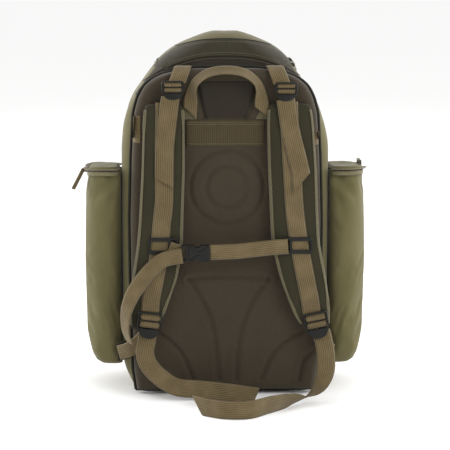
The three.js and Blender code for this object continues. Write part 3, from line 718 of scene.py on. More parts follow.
def build_lid():
    low, high = (v.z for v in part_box("main_lid"))
    rise = np.sin(np.linspace(0, 1, 34) * math.pi / 2)
    heights = low + 0.2 * MM + (high - low - 0.6 * MM) * rise
    radii = [(low, MOUTH_RADIUS), (0.564, 42 * MM), (0.582, 24 * MM), (high, 6 * MM)]
    outer, uv = shell(levels_of("main_lid", heights, radii), RING_POINTS)
    pinned = np.zeros(outer.shape[:2], bool)
    pinned[:2] = True
    blown = puffed_grid(outer, pinned, 3 * MM, pressure=3.0, shrink=-0.01, frames=14)
    outer = np.where(outer[..., 2:] < high, blown, outer)
    outer[..., 2] = np.minimum(outer[..., 2], high + 4 * MM)
    outer = lopsided(outer)
    rings = [outer[-1] + (outer[-1].mean(0) - outer[-1]) * share for share in (0.35, 0.7)]
    crown = 0.9 * MM * (1 - np.array([0.65, 0.3]))
    rings = [ring + [0, 0, lift] for ring, lift in zip(rings, crown)]
    grown = np.vstack([outer, np.array(rings)])
    uv = np.concatenate([uv, uv[-1:] + [0, 6 * MM], uv[-1:] + [0, 12 * MM]])
    inner = grown - CLOTH_WALL * grid_normals(grown)
    rim = (grown[0] + inner[0]) / 2 - [0, 0, 0.2 * MM]
    made = Mesh()
    made.grid(np.vstack([grown, grown[-1:].mean(1, keepdims=True).repeat(grown.shape[1], 1)]),
              np.concatenate([uv, uv[-1:] + [0, 3 * MM]]), True, band_zones(grown, LID_REAR))
    made.grid(np.vstack([grown[:1], rim[None], inner]), np.concatenate([uv[:1], uv[:1], uv]), True, 3)
    made.fan(inner[-1], 3)
    piece = made.build("lid_dome", "olive", "crown", "band", "lining", weld=0.02 * MM)
    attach(piece, "lid")
    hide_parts("main_lid")
    return piece


bag_piece, bag_grid = build_bag()
lid_piece = build_lid()
bag_skin, lid_skin = Surface(bag_piece), Surface(lid_piece)


def rim_path(node, height, out, count=260):
    """A closed path round a shell at one height, and its outward directions."""
    x0, x1, y0, y1 = Solid(node).extent(height)
    ring, _ = even_ring(rounded_rectangle(x0, x1, y0, y1, MOUTH_RADIUS), count)
    ahead = np.roll(ring, -1, 0) - np.roll(ring, 1, 0)
    outward = unit(np.stack([ahead[:, 1], -ahead[:, 0]], 1))
    ring = ring + out * outward
    level = np.full((count, 1), height)
    return np.hstack([ring, level]), np.hstack([outward, np.zeros((count, 1))])


# ---- zips ---------------------------------------------------------------------------------------
TAPE = 7 * MM  # width of half a zip's tape
TOOTH = np.array([1.3, 1.8, 0.9]) * MM  # along, towards the other row, thick
TOOTH_PITCH = 2.6 * MM


def zip_half(name, body, points, out, towards):
    """Half a zip: a strip of tape and a row of teeth along its meeting edge."""
    tape_middle = points - towards * (TAPE / 2 + 0.6 * MM)
    grid, uv = ribbon_grid(tape_middle, towards, TAPE, 1.0 * MM, cells=6)
    made = Mesh().grid(grid, uv, True).fan(grid[0]).fan(grid[-1])
    along = distances(points)
    at = np.arange(1.5 * MM, along[-1], TOOTH_PITCH)
    at_point = along_path(at, along, points)
    way = unit(along_path(at, along, np.gradient(points, axis=0)))
    outward = unit(along_path(at, along, out))
    shape = np.array([[x, y, z] for x in (-0.5, 0.5) for y in (-1, 0) for z in (-0.5, 0.5)])
    faces = [(0, 1, 3, 2), (4, 6, 7, 5), (0, 4, 5, 1), (2, 3, 7, 6), (0, 2, 6, 4), (1, 5, 7, 3)]
    for p, w, o in zip(at_point, way, outward):
        n = np.cross(o, w)
        n *= np.sign(n @ towards.mean(0)) or 1
        made.add(p + 0.4 * MM * o + (shape * TOOTH) @ np.array([w, n, o]), faces, [(0, 0)] * 24, 1)
    piece = made.build(name, "tape", "metal")
    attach(piece, body)
    return piece


def build_main_zip():
    """The lid's zip runs round both sides and the front, and stops at the rear corners."""
    for name, node, body, height, sign in (
        ("bag_zip", "bag_shell", "bag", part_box("bag_shell")[1].z - 0.3 * MM, 1),
        ("lid_zip", "main_lid", "lid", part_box("main_lid")[0].z + 0.3 * MM, -1),
    ):
        ring, out = rim_path(node, height, -0.4 * MM)
        corner = len(ring) // 5
        points, outward = ring[corner:-corner], out[corner:-corner]
        lean = np.tile([0, 0, float(sign)], (len(points), 1)) - 0.45 * outward * sign
        zip_half(name, body, points, outward, unit(lean))


build_main_zip()


# ---- the back panel -----------------------------------------------------------------------------
RING_MIDDLE = (1.6 * MM, 345 * MM)  # x and z of the pressed rings
RING_RADII = (60 * MM, 34 * MM)


def segment_distance(x, z, line):
    """Distance in the panel's plane from each point to a smooth line through (x, z) points."""
    route = curve_through(np.array(line, float) * MM, 24)
    best = np.full(x.shape, np.inf)
    for a, b in zip(route[:-1], route[1:]):
        way = b - a
        t = np.clip(((x - a[0]) * way[0] + (z - a[1]) * way[1]) / (way @ way), 0, 1)
        best = np.minimum(best, np.hypot(x - a[0] - t * way[0], z - a[1] - t * way[1]))
    return best


# The moulded channels' middle lines: x and z in millimetres.
CHANNELS = [
    [(-60, 195), (0, 198), (70, 195)],
    [(-60, 193), (-42, 164), (-24, 124), (-15, 76), (-12, 26)],
    [(70, 193), (48, 164), (30, 124), (20, 76), (17, 26)],
    [(-112, 106), (-92, 92), (-70, 66), (-54, 26)],
    [(127, 106), (102, 92), (76, 66), (58, 26)],
    [(144, 74), (128, 58), (121, 26)],
    [(-48, 518), (-42, 486), (-34, 458)],
    [(51, 518), (45, 486), (33, 458)],
]


def emboss(x, z):
    """Depth of the moulded channels and rings below the panel's face."""
    depth = np.zeros(x.shape)
    for line in CHANNELS:
        far = segment_distance(x, z, line)
        depth += 4.2 * MM * np.exp(-((far / (2.8 * MM)) ** 2))
        depth -= 1.6 * MM * np.exp(-(((far - 8 * MM) / (4 * MM)) ** 2))
    centre = np.hypot(x - RING_MIDDLE[0], z - RING_MIDDLE[1])
    for radius in RING_RADII:
        depth += 4.4 * MM * np.exp(-(((centre - radius) / (3.0 * MM)) ** 2))
    depth -= 2.2 * MM * np.exp(-((centre / (44 * MM)) ** 4))
    return depth


def slab(name, node, front, back, uv, look, body="bag"):
    """A soft plate between a front and a back grid of points."""
    made = Mesh().grid(front, uv).grid(back[:, ::-1], uv[:, ::-1])
    edges = [(front[:, 0], back[:, 0]), (back[:, -1], front[:, -1]),
             (front[0], back[0]), (back[-1], front[-1])]
    for a, b in edges:
        side = np.stack([a, b], 1)
        made.grid(side, np.stack([side[..., 1], side[..., 2]], -1))
    piece = made.build(name, look, weld=0.05 * MM)
    if body:
        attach(piece, body)
    if node:
        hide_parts(node)
    return piece


def build_hinge_cloth():
    """Cloth sewn inside the rear wall, from the bag's rim to the lid's."""
    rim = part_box("bag_shell")[1].z
    x = np.linspace(-80, 80, 61) * MM
    inner = []
    for z in rim + np.linspace(-14, 14, 29) * MM:
        skin, level = (bag_skin, min(z, rim - 2 * MM)) if z < rim else (lid_skin, max(z, rim + 2 * MM))
        inner.append([(px, skin.from_front(px, level)[0][1] + 3.6 * MM, z) for px in x])
    inner = np.array(inner)
    outer = inner - [0, 0.8 * MM, 0]
    cloth = slab("lid_hinge_cloth", None, outer, inner, inner[..., [0, 2]], "band", body=None)
    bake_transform(cloth)


build_hinge_cloth()


def build_panel():
    solid = Solid("back_panel_pad")
    low, high = solid.low[2] + 0.3 * MM, solid.high[2] - 0.3 * MM
    rows, columns = 210, 128
    heights = low + (high - low) * (0.5 - 0.5 * np.cos(np.linspace(0.04, 1, rows) * math.pi)) ** 0.9
    half = solid.extents(heights, 5 * MM)[:, 1] - 0.4 * MM
    s = np.sin(np.linspace(-1, 1, columns + 1) * math.pi / 2 * 0.98) / math.sin(math.pi / 2 * 0.98)
    x = half[:, None] * s[None]
    z = np.repeat(heights[:, None], columns + 1, 1)
    rear, front = solid.high[1] - 0.2 * MM, solid.low[1]
    edge = np.minimum(half[:, None] - np.abs(x), np.minimum(z - low, (high - z) * 1.2))
    roll = np.clip(edge / (20 * MM), 0, 1)
    crown = (rear - front - 12 * MM) * np.sqrt(np.maximum(1 - (1 - roll) ** 2.6, 0)) + 12 * MM
    level = np.stack([x, 0 * x, z], -1)
    soft = 1.2 * MM * ruffle(level, 9, 11) + 0.5 * MM * ruffle(level, 26, 2)
    y = rear - crown + (emboss(x, z) + soft) * np.clip(edge / (16 * MM), 0, 1) + 1.0 * MM
    y = np.minimum(y, rear - 2 * MM)
    front_grid = np.stack([x, y, z], -1)
    uv = np.stack([x, z], -1)
    back_grid = np.stack([x, np.full(x.shape, rear), z], -1)
    piece = slab("back_panel", "back_panel_pad", front_grid, back_grid, uv, "panel")
    return piece


panel_piece = build_panel()
panel_skin = Surface(panel_piece)


def panel_outline(inset, count=400):
    """Points along the panel's outline, from its left foot over the crown to the right foot."""
    solid = Solid("back_panel_pad")
    heights = np.linspace(solid.low[2] + 0.3 * MM, solid.high[2] - inset - 0.3 * MM, 90)
    half = solid.extents(heights, 6 * MM)[:, 1] - inset
    left, right = np.column_stack([-half, heights]), np.column_stack([half, heights])[::-1]
    line = np.vstack([left, right])
    along = distances(line)
    return along_path(np.linspace(0, along[-1], count), along, line)


def tube(name, body, points, radius, look, sides=10, closed=False, replaces=None):
    """A round cord of binding along a path."""
    closing = np.vstack([points, points[:1]]) if closed else points
    tangents = unit(np.gradient(closing, axis=0))
    across = unit(np.cross(tangents, np.tile([0, 1.0, 0], (len(closing), 1))))
    out = np.cross(tangents, across)
    turns = np.linspace(0, 2 * math.pi, sides + 1)
    c, s = np.cos(turns[:-1])[None, :, None], np.sin(turns[:-1])[None, :, None]
    grid = closing[:, None] + radius * (c * across[:, None] + s * out[:, None])
    uv = np.stack(np.meshgrid(distances(closing), turns * radius, indexing="ij"), -1)
    made = Mesh().grid(grid, uv, True)
    if not closed:
        made.fan(grid[0]).fan(grid[-1])
    piece = made.build(name, look, weld=0.02 * MM)
    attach(piece, body)
    if replaces:
        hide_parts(replaces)
    return piece


def build_piping():
    """Corded piping round the panel."""
    line = panel_outline(-2.4 * MM)
    y = Solid("panel_piping")
    middle = (y.low[1] + y.high[1]) / 2
    line[:, 1] = np.clip(line[:, 1], 3.6 * MM, y.high[2] - 2.4 * MM)
    path = np.column_stack([line[:, 0], np.full(len(line), middle), line[:, 1]])
    tube("panel_binding", "bag", path, 2.3 * MM, "binding", closed=True, replaces="panel_piping")


build_piping()


# ---- pockets ------------------------------------------------------------------------------------
def rumple(points, height, amount, seed):
    """How a slack rim lies: how far each point near that height sinks or rises."""
    near = np.exp(-np.abs(points[..., 2] - height) / (12 * MM))
    level = points * [1, 1, 0]
    return amount * near * (0.7 * ruffle(level, 30, seed) + 0.2 * ruffle(level, 75, seed + 1))


def slump(points, top):
    """How far a side pocket's top sinks: not at its rear, and more and more towards the front."""
    forward = np.clip((points[..., 1] + 70 * MM) / (90 * MM), 0, 1)
    upper = np.clip((points[..., 2] - top + 90 * MM) / (90 * MM), 0, 1)
    return 10 * MM * forward * upper


def soft_pocket(name, node, radii, sewn, folds, seed, rows=60, columns=110, cap=5.5 * MM, sunk=1.0):
    """A pocket of cloth blown out between its seams, with folds that run from its corners.

    sewn(points) is true where the pocket lies against the bag.
    """
    low, high = (v.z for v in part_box(node))
    heights = np.linspace(low + 0.5 * MM, high - 0.5 * MM, rows)
    outer, uv = shell(levels_of(node, heights, radii, 0.3 * MM), columns)
    fixed = sewn(outer)
    inset = np.where(fixed, 0, 2.2 * MM) * np.clip((heights - low) / 0.03, 0.2, 1)[:, None]
    full = outer.copy()
    outer = outer - inset[..., None] * grid_normals(outer)
    pinned = fixed.copy()
    pinned[-1] = True
    outer = puffed_grid(outer, pinned, cap, pressure=4.0, shrink=-0.003, frames=16)
    outer[..., 2] = np.clip(outer[..., 2], low, high)
    lift = sum(fold(outer, *f) for f in folds) + 0.9 * MM * ruffle(outer * [1, 1, 0.6], 11, seed)
    rim = rumple(outer, high, 1.0, seed)
    normals = grid_normals(outer)
    free = np.where(fixed, 0, 1.0) * np.clip((outer[..., 2] - low) / 0.02, 0, 1)
    outer = outer + ((lift + 2.6 * MM * rim) * free)[..., None] * normals
    outer[..., 2] += 2.0 * MM * rim * free
    outer = np.where(fixed[..., None], full, outer)
    outer[..., 2] -= sunk * slump(outer, high)
    piece = thick_shell(f"{name}_pocket_cloth", outer, uv, POCKET_WALL, ["olive", "lining"])
    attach(piece, "bag")
    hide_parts(node)
    return piece, outer


def soft_flap(name, node, body, radius, seed, sag, rings=14, columns=110, sunk=1.0):
    """A pocket's zipped lid: a slack skin of cloth from its rim to its middle, lined below."""
    (x0, y0, low), (x1, y1, high) = (tuple(v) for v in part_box(node))
    gap = 0.3 * MM
    outline = rounded_rectangle(x0 + gap, x1 - gap, y0 + gap, y1 - gap, radius)
    rim, along = even_ring(outline, columns)
    middle = np.array([(x0 + x1) / 2, (y0 + y1) / 2])
    share = np.linspace(0, 1, rings)
    depth = min(x1 - x0, y1 - y0) / 2
    rows, uv = [], []
    for t in share:
        pull = np.clip(1 - t, 0.02, 1)
        ring = middle + (rim - middle) * pull
        edge = t * depth
        rise = (high - low) * min(1.0, math.sqrt(max(0, 1 - (1 - min(edge / (7 * MM), 1)) ** 2)))
        z = low + 1.4 * MM + rise - sag * math.sin(t * math.pi / 2) ** 2
        rows.append(np.column_stack([ring, np.full(columns, z)]))
        uv.append(np.column_stack([along, np.full(columns + 1, edge)]))
    top, uv = np.array(rows), np.array(uv)
    ripple = 1.8 * MM * ruffle(top, 26, seed) + 0.9 * MM * ruffle(top, 60, seed + 2)
    top[..., 2] += ripple * np.clip(share * 4, 0, 1)[:, None] + 2.0 * MM * rumple(top, low, 1.0, seed)
    top[..., 2] -= sunk * slump(top, low)
    under = top.copy()
    under[..., 2] -= POCKET_WALL
    under[0] = (top[0] + under[0]) / 2
    made = Mesh().grid(top, uv, True)
    made.grid(np.concatenate([top[:1], under]), np.concatenate([uv[:1], uv]), True, 1)
    made.fan(top[-1]).fan(under[-1], 1)
    piece = made.build(f"{name}_flap_cloth", "olive", "lining", weld=0.02 * MM)
    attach(piece, body)
    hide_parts(node)
    return piece


def pocket_rim(node, height, radius, out, keep, count=300):
    """The zipped stretch of a pocket's rim: its points and outward directions."""
    x0, x1, y0, y1 = Solid(node).extent(height)
    ring, _ = even_ring(rounded_rectangle(x0, x1, y0, y1, radius), count)
    ahead = np.roll(ring, -1, 0) - np.roll(ring, 1, 0)
    outward = unit(np.stack([ahead[:, 1], -ahead[:, 0]], 1))
    kept = np.array([keep(p) for p in ring])
    first = next(i for i in range(count) if kept[i] and not kept[i - 1])
    order = [(first + i) % count for i in range(int(kept.sum()))]
    points = np.hstack([ring + out * outward, np.full((count, 1), height)])[order]
    return points, np.hstack([outward, np.zeros((count, 1))])[order]


def zip_pocket(name, shell_node, body, radius, keep, seed, sunk=1.0):
    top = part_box(shell_node)[1].z
    points, outward = pocket_rim(shell_node, top - 0.5 * MM, radius, 0.7 * MM, keep)
    points[:, 2] += 2.0 * MM * rumple(points, top, 1.0, seed) + 0.5 * MM
    points[:, :2] += (2.0 * MM * rumple(points, top, 1.0, seed))[:, None] * outward[:, :2]
    points[:, 2] -= sunk * slump(points, top)
    up = np.tile([0, 0, 1.0], (len(points), 1))
    zip_half(f"{name}_zip_below", "bag", points, outward, up)
    over = unit(-0.9 * outward - 0.5 * up)
    zip_half(f"{name}_zip_above", body, points + [0, 0, 1.1 * MM], outward, unit(over))


# A side pocket's corner radius at each height.
POCKET_RADII = [(0.043, 14 * MM), (0.07, 22 * MM), (0.216, 24 * MM), (0.376, 22 * MM)]


def build_side_pocket(name, sign):
    inner = min(abs(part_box(f"{name}_pocket_shell")[0].x), abs(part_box(f"{name}_pocket_shell")[1].x))
    (_, rear, _), (_, front, top) = (tuple(v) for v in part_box(f"{name}_pocket_shell"))
    corner = (sign * (inner + 4 * MM), rear, top - 4 * MM)
    front_corner = (sign * (inner + 4 * MM), front, top - 6 * MM)
    outer_x = sign * (inner + 52 * MM)
    folds = [
        (corner, (outer_x, rear + 6 * MM, top - 50 * MM), 8 * MM, 9.5 * MM),
        (corner, (outer_x, rear + 6 * MM, top - 14 * MM), 5 * MM, 5 * MM),
        (corner, (sign * (inner + 26 * MM), rear, top - 92 * MM), 8 * MM, 5 * MM),
        (front_corner, (outer_x, front - 6 * MM, top - 60 * MM), 8 * MM, 5 * MM),
    ]
    seed = 20 + sign

    def against_bag(points):
        return np.abs(points[..., 0]) < inner + 1.2 * MM

    soft_pocket(name, f"{name}_pocket_shell", POCKET_RADII, against_bag, folds, seed)
    soft_flap(name, f"{name}_pocket_flap", f"{name}_flap", 20 * MM, seed, 1 * MM)
    zip_pocket(name, f"{name}_pocket_shell", f"{name}_flap", 22 * MM,
               lambda p: abs(p[0]) > inner + 5 * MM, seed)


def build_front_pocket():
    node = "front_pocket_shell"
    (_, back, low), (_, face, top) = (tuple(v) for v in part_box(node))
    radii = [(low, 12 * MM), (0.052, 18 * MM), (0.096, 22 * MM), (top, 22 * MM)]
    folds = [((s * 118 * MM, face, top - 8 * MM), (s * 60 * MM, face, top - 70 * MM), 9 * MM, 4 * MM)
             for s in SIDES.values()]

    def against_bag(points):
        return points[..., 1] < back + 1.2 * MM

    soft_pocket("front", node, radii, against_bag, folds, 31, columns=150, sunk=0.0)
    soft_flap("front", "front_pocket_flap", "front_flap", 18 * MM, 31, 4 * MM, columns=150, sunk=0.0)
    zip_pocket("front", node, "front_flap", 22 * MM, lambda p: p[1] > back + 5 * MM, 31, sunk=0.0)


for side, sign in SIDES.items():
    build_side_pocket(side, sign)
build_front_pocket()


# ---- shoulder pads --------------------------------------------------------------------------------
def crowned_outline(x0, x1, y0, y1, power=3.4, steps=96):
    """A rectangle with crowned faces and soft corners, from the middle of the rear face."""
    turns = np.linspace(-math.pi / 2, 1.5 * math.pi, steps, endpoint=False)
    c, s = np.cos(turns), np.sin(turns)
    x = (x0 + x1) / 2 + (x1 - x0) / 2 * np.sign(c) * np.abs(c) ** (2 / power)
    y = (y0 + y1) / 2 + (y1 - y0) / 2 * np.sign(s) * np.abs(s) ** (2 / power)
    return np.column_stack([x, y])


def build_pad(name):
    node = f"{name}_shoulder_pad"
    solid = Solid(node)
    low, high = solid.low[2] + 0.4 * MM, solid.high[2] - 0.4 * MM
    rows, columns = 96, 60
    heights = low + (high - low) * (0.5 - 0.5 * np.cos(np.linspace(0, 1, rows) * math.pi)) ** 0.95
    boxes = solid.extents(heights, 14 * MM)
    grid, uv = [], []
    for z, (x0, x1, y0, y1) in zip(heights, boxes):
        end = min(z - low, high - z) / (9 * MM)
        round_off = math.sqrt(max(0.0, 1 - (1 - min(end, 1)) ** 2))
        trim, thin = (1 - round_off) * 6 * MM, (1 - round_off) * 4.5 * MM
        outline = crowned_outline(x0 + trim + MM, x1 - trim - MM, y0 + thin + MM, y1 - thin - 0.5 * MM)
        ring, along = even_ring(outline, columns)
        grid.append(np.column_stack([ring, np.full(columns, z)]))
        uv.append(np.column_stack([along, np.full(columns + 1, z)]))
    grid, uv = np.array(grid), np.array(uv)
    middle = grid[..., 0].mean(1, keepdims=True)
    half = np.abs(grid[..., 0] - middle).max(1, keepdims=True)
    seam = np.abs(grid[..., 0] - middle) > half - 1.2 * MM
    grid = puffed_grid(grid, seam, 2 * MM, pressure=3.0, frames=10)
    made = Mesh().grid(grid, uv, True).fan(grid[0]).fan(grid[-1])
    piece = made.build(f"{name}_pad", "pad", weld=0.02 * MM)
    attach(piece, "bag")
    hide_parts(node)
    return Surface(piece), heights, boxes


def laid(skin, points, lift):
    """Points (x, z) laid on a surface from the front: places lifted off it, and normals."""
    hits = [skin.from_front(x, z) for x, z in points]
    places, normals = np.array([h[0] for h in hits]), np.array([h[1] for h in hits])
    return places + lift * normals, normals


def laid_below(skin, points, lift, highest):
    """The same where the surface ends at a height: above it the points hang straight over its edge."""
    places, normals = laid(skin, np.column_stack([points[:, 0], np.minimum(points[:, 1], highest)]), lift)
    places[:, 2] += np.maximum(points[:, 1] - highest, 0)
    return places, normals


def settled(path, window=5):
    """A path with the small kinks averaged out of it."""
    weights = np.ones(window) / window
    padded = np.pad(path, ((window // 2, window // 2), (0, 0)), mode="edge")
    return np.stack([np.convolve(padded[:, k], weights, mode="valid") for k in range(path.shape[1])], 1)


def edge_strip(name, skin, heights, edge, sign):
    """Airmesh binding turned over a pad's edge, and the zigzag of stitches along it."""
    points = np.column_stack([edge - sign * 2.0 * MM, heights])
    places, normals = laid(skin, points, 0.5 * MM)
    places, normals = settled(places), unit(settled(normals))
    tangents = unit(np.gradient(places, axis=0))
    across = np.cross(normals, tangents)
    ribbon(f"{name}_mesh", "bag", places, across, 5.4 * MM, "mesh", 1.5 * MM, cells=6)
    zig = 1.1 * MM * np.where(np.arange(len(places)) % 2, 1, -1)[:, None] * across
    inner = places - sign * 2.2 * MM * across * np.sign(across[:, :1]) + normals * 0.6 * MM
    return inner + zig, normals


def build_pad_edges(name, skin, heights, boxes):
    keep = (heights > heights[0] + 7 * MM) & (heights < heights[-1] - 5 * MM)
    dense = np.arange(heights[keep][0], heights[keep][-1], 2.2 * MM)
    runs = []
    for label, column, sign in (("left_edge", 0, -1), ("right_edge", 1, 1)):
        edge = np.interp(dense, heights, boxes[:, column]) - sign * 0.8 * MM
        runs.append(edge_strip(f"{name}_{label}", skin, dense, edge, sign))
    stitches(f"{name}_edge_stitches", "bag", runs, pitch=2.5 * MM, length=2.3 * MM, radius=0.45 * MM)


def crimps(heights, *middles):
    """Small ripples where stitched rows gather the webbing."""
    lift = np.zeros(len(heights))
    for middle, count in middles:
        for k in range(count):
            lift += np.exp(-(((heights - middle - 5.5 * MM * k) / (1.7 * MM)) ** 2))
    return lift


def centre_line(solid, heights, margin=12 * MM):
    """Middle x of a leaning band at each height, carried on in a straight line at its ends."""
    low, high = solid.low[2] + margin, solid.high[2] - margin
    at = [low, low + 20 * MM, high - 20 * MM, high]
    foot, above, below, head = solid.extents(at, 6 * MM)[:, :2].mean(1)
    middle = solid.extents(np.clip(heights, low, high), 10 * MM)[:, :2].mean(1)
    middle += (above - foot) / (20 * MM) * np.minimum(heights - low, 0)
    return middle + (head - below) / (20 * MM) * np.maximum(heights - high, 0)


TACK_ROWS = (0.322, 0.161, 0.154)  # heights of the stitched rows across the strap webbing


def build_strap_webbing(name, skin):
    """The webbing sewn down the pad, and its loose load-lifter tail lying over it."""
    solid = Solid(f"{name}_strap_webbing")
    heights = np.arange(solid.high[2] + 12 * MM, solid.low[2] - 10 * MM, -2 * MM)
    points = np.column_stack([centre_line(solid, heights), heights])
    pad_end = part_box(f"{name}_shoulder_pad")[1].z - 9 * MM
    places, _ = laid_below(skin, points, WEBBING / 2 + 0.5 * MM, pad_end)
    places = settled(places, 9)
    places[:, 1] -= 0.9 * MM * crimps(heights, (0.148, 3), (0.319, 2))
    sides = np.tile([1.0, 0, 0], (len(places), 1))
    piece = ribbon(f"{name}_strap", "bag", places, sides, STRAP, replaces=f"{name}_strap_webbing")
    strap_skin = Surface(piece)
    runs = []
    for z in TACK_ROWS:
        x = np.interp(-z, -heights, points[:, 0])
        row = np.column_stack([np.linspace(x - 13.5 * MM, x + 13.5 * MM, 14), np.full(14, z)])
        runs.append(laid(strap_skin, row, 0.2 * MM))
    stitches(f"{name}_bar_tacks", "bag", runs, "thread_dark", 2.2 * MM, 1.9 * MM, 0.4 * MM)
    tail = Solid(f"{name}_lifter_tail")
    heights = np.arange(tail.high[2] + 13 * MM, tail.low[2] + 2 * MM, -2.5 * MM)
    points = np.column_stack([centre_line(tail, heights), heights])
    places, _ = laid_below(strap_skin, points, WEBBING / 2 + 0.7 * MM, solid.high[2] + 4 * MM)
    places[:, 1] = np.minimum(settled(places, 15)[:, 1], places[:, 1])
    loose = np.linspace(0, 1, len(places))
    places[:, 1] -= 1.6 * MM * np.sin(loose * 7) ** 2 + 3.0 * MM * np.clip(loose - 0.8, 0, 1) * 5 * 0.6
    lock_gap = np.clip(1 - (heights[0] - heights) / 0.026, 0, 1)
    places[:, 1] -= 2.4 * MM * lock_gap
    sides = np.tile([1.0, 0, 0], (len(places), 1))
    slant = {"left": 0.55, "right": -0.95}[name]
    piece = ribbon(f"{name}_lifter_loose_end", "bag", settled(places, 7), sides, STRAP,
                   replaces=f"{name}_lifter_tail", slants=(0, slant))


for side in SIDES:
    pad_skin, pad_heights, pad_boxes = build_pad(side)
    build_pad_edges(side, pad_skin, pad_heights, pad_boxes)
    build_strap_webbing(side, pad_skin)


# ---- moulded buckles --------------------------------------------------------------------------------
def rounded_loop(points, radius, steps=6):
    """A closed outline with its corners rounded off."""
    points = [np.array(p, float) for p in points]
    out = []
    for i, corner in enumerate(points):
        before, after = points[i - 1] - corner, points[(i + 1) % len(points)] - corner
        reach = min(radius, 0.45 * np.linalg.norm(before), 0.45 * np.linalg.norm(after))
        a, b = corner + unit(before) * reach, corner + unit(after) * reach
        for t in np.linspace(0, 1, steps):
            out.append((1 - t) ** 2 * a + 2 * t * (1 - t) * corner + t**2 * b)
    return out


def plate(name, body, outline, windows, thickness, bevel, place, lean, bend):
    """A moulded plate in the XZ plane with rounded edges, bent by bend(x, z) along Y."""
    drawing = bpy.data.curves.new(name, "CURVE")
    drawing.dimensions, drawing.fill_mode = "2D", "BOTH"
    drawing.extrude, drawing.bevel_depth, drawing.bevel_resolution = thickness / 2 - bevel, bevel, 2
    drawing.offset = -bevel
    for loop in (outline, *windows):
        spline = drawing.splines.new("POLY")
        spline.points.add(len(loop) - 1)
        for point, (x, z) in zip(spline.points, loop):
            point.co = (x, z, 0, 1)
        spline.use_cyclic_u = True
    flat = bpy.data.objects.new("flat", drawing)
    data = bpy.data.meshes.new_from_object(flat)
    bpy.data.objects.remove(flat)
    points = np.array([v.co for v in data.vertices], float)
    x, z = points[:, 0], points[:, 1]
    y = bend(x, z) - points[:, 2]
    c, s = math.cos(lean), math.sin(lean)
    turned = np.column_stack([x * c + z * s, y, z * c - x * s])
    made = Mesh().add(turned + np.array(place), [tuple(p.vertices) for p in data.polygons],
                      [(turned[i][0], turned[i][2]) for p in data.polygons for i in p.vertices])
    bpy.data.meshes.remove(data)
    piece = made.build(name, "plastic", weld=0.01 * MM)
    piece.data.set_sharp_from_angle(angle=math.radians(40))
    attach(piece, body)
    return piece


def threaded(name, body, width, stations, place, lean):
    """Webbing seen through a buckle's windows: stations are (z, y) down the buckle."""
    route = curve_through([(0, y, z) for z, y in stations], 26)
    turn = np.array([[math.cos(lean), 0, -math.sin(lean)], [0, 1, 0], [math.sin(lean), 0, math.cos(lean)]])
    centres = route @ turn + np.array(place)
    sides = np.tile(np.array([1.0, 0, 0]) @ turn, (len(centres), 1))
    return ribbon(name, body, centres, sides, width)


def ladder_lock(name, node, body, width, height, lean):
    """A ladder-lock: frame, two windows with a bar between them, and a curled thumb tab."""
    half, top = width / 2, height / 2

    def down(share):
        return top - share * height

    outline = rounded_loop([
        (-half + 2 * MM, top), (half - 2 * MM, top), (half, top - 4 * MM), (half, down(0.62)),
        (half * 0.62, down(0.93)), (half * 0.2, -top), (-half * 0.2, -top), (-half * 0.62, down(0.93)),
        (-half, down(0.62)), (-half, top - 4 * MM),
    ], 5 * MM)
    reach = half - 2.6 * MM
    windows = []
    for a, b in ((0.08, 0.32), (0.37, 0.65)):
        corners = [(-reach, down(a)), (reach, down(a)), (reach, down(b)), (-reach, down(b))]
        windows.append(rounded_loop(corners, 1.4 * MM, 4))
    low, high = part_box(node)
    middle = ((low.x + high.x) / 2, (low.y + high.y) / 2, (low.z + high.z) / 2)

    def curl(x, z):
        tab = np.clip((down(0.62) - z) / (0.38 * height), 0, 1)
        return -2.6 * MM * tab**1.5 + 1.2 * MM * (np.abs(x) / half) ** 2 - 0.6 * MM

    piece = plate(f"{name}_frame", body, outline, windows, 3.6 * MM, 1.1 * MM, middle, lean, curl)
    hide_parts(node)
    behind, ahead = 1.9 * MM, -1.5 * MM
    threaded(f"{name}_webbing", body, 2 * reach - 3.2 * MM, [
        (down(0.02), behind + MM), (down(0.12), behind), (down(0.21), ahead), (down(0.31), 0.6 * MM),
        (down(0.36), behind), (down(0.40), 0.4 * MM), (down(0.47), ahead), (down(0.54), 0.2 * MM),
        (down(0.60), behind),
    ], middle, lean)


LOCKS = [
    ("left_upper_lock", "left_lifter_lock", 36 * MM, 30 * MM, 0.0),
    ("right_upper_lock", "right_lifter_lock", 36 * MM, 30 * MM, 0.0),
    ("left_foot_lock", "left_lower_lock", 40 * MM, 43 * MM, 0.12),
    ("right_foot_lock", "right_lower_lock", 40 * MM, 43 * MM, -0.2),
]
for lock, node, width, height, lean in LOCKS:
    ladder_lock(lock, node, node, width, height, lean)


def finish_node(node, look, bevel=0.0):
    """Keeps a CAD piece, softens its edges and gives it a better material."""
    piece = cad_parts[node]
    piece.data.materials.clear()
    piece.data.materials.append(LOOKS[look])
    if bevel:
        weld = piece.modifiers.new("weld", "WELD")
        weld.merge_threshold = 0.01 * MM
        soften = piece.modifiers.new("soften", "BEVEL")
        soften.width, soften.segments, soften.limit_method = bevel, 2, "ANGLE"
        soften.angle_limit = math.radians(35)


for bevel, nodes in (
    (0.9, ("left_chest_slider", "right_chest_slider")),
    (0.8, ("chest_buckle_male", "chest_buckle_female")),
    (0.5, ("upper_buckle_prong", "lower_buckle_prong", "buckle_guide_tongue")),
):
    for node in nodes:
        finish_node(node, "plastic", bevel * MM)
finish_node("base_panel", "board", 0.6 * MM)
finish_node("frame_sheet", "board", 0.4 * MM)
ZIPS = ("main_left", "main_right", "left_pocket", "right_pocket", "front_pocket")
for zip_name in ZIPS:
    finish_node(f"{zip_name}_zip_slider", "metal", 0.6 * MM)


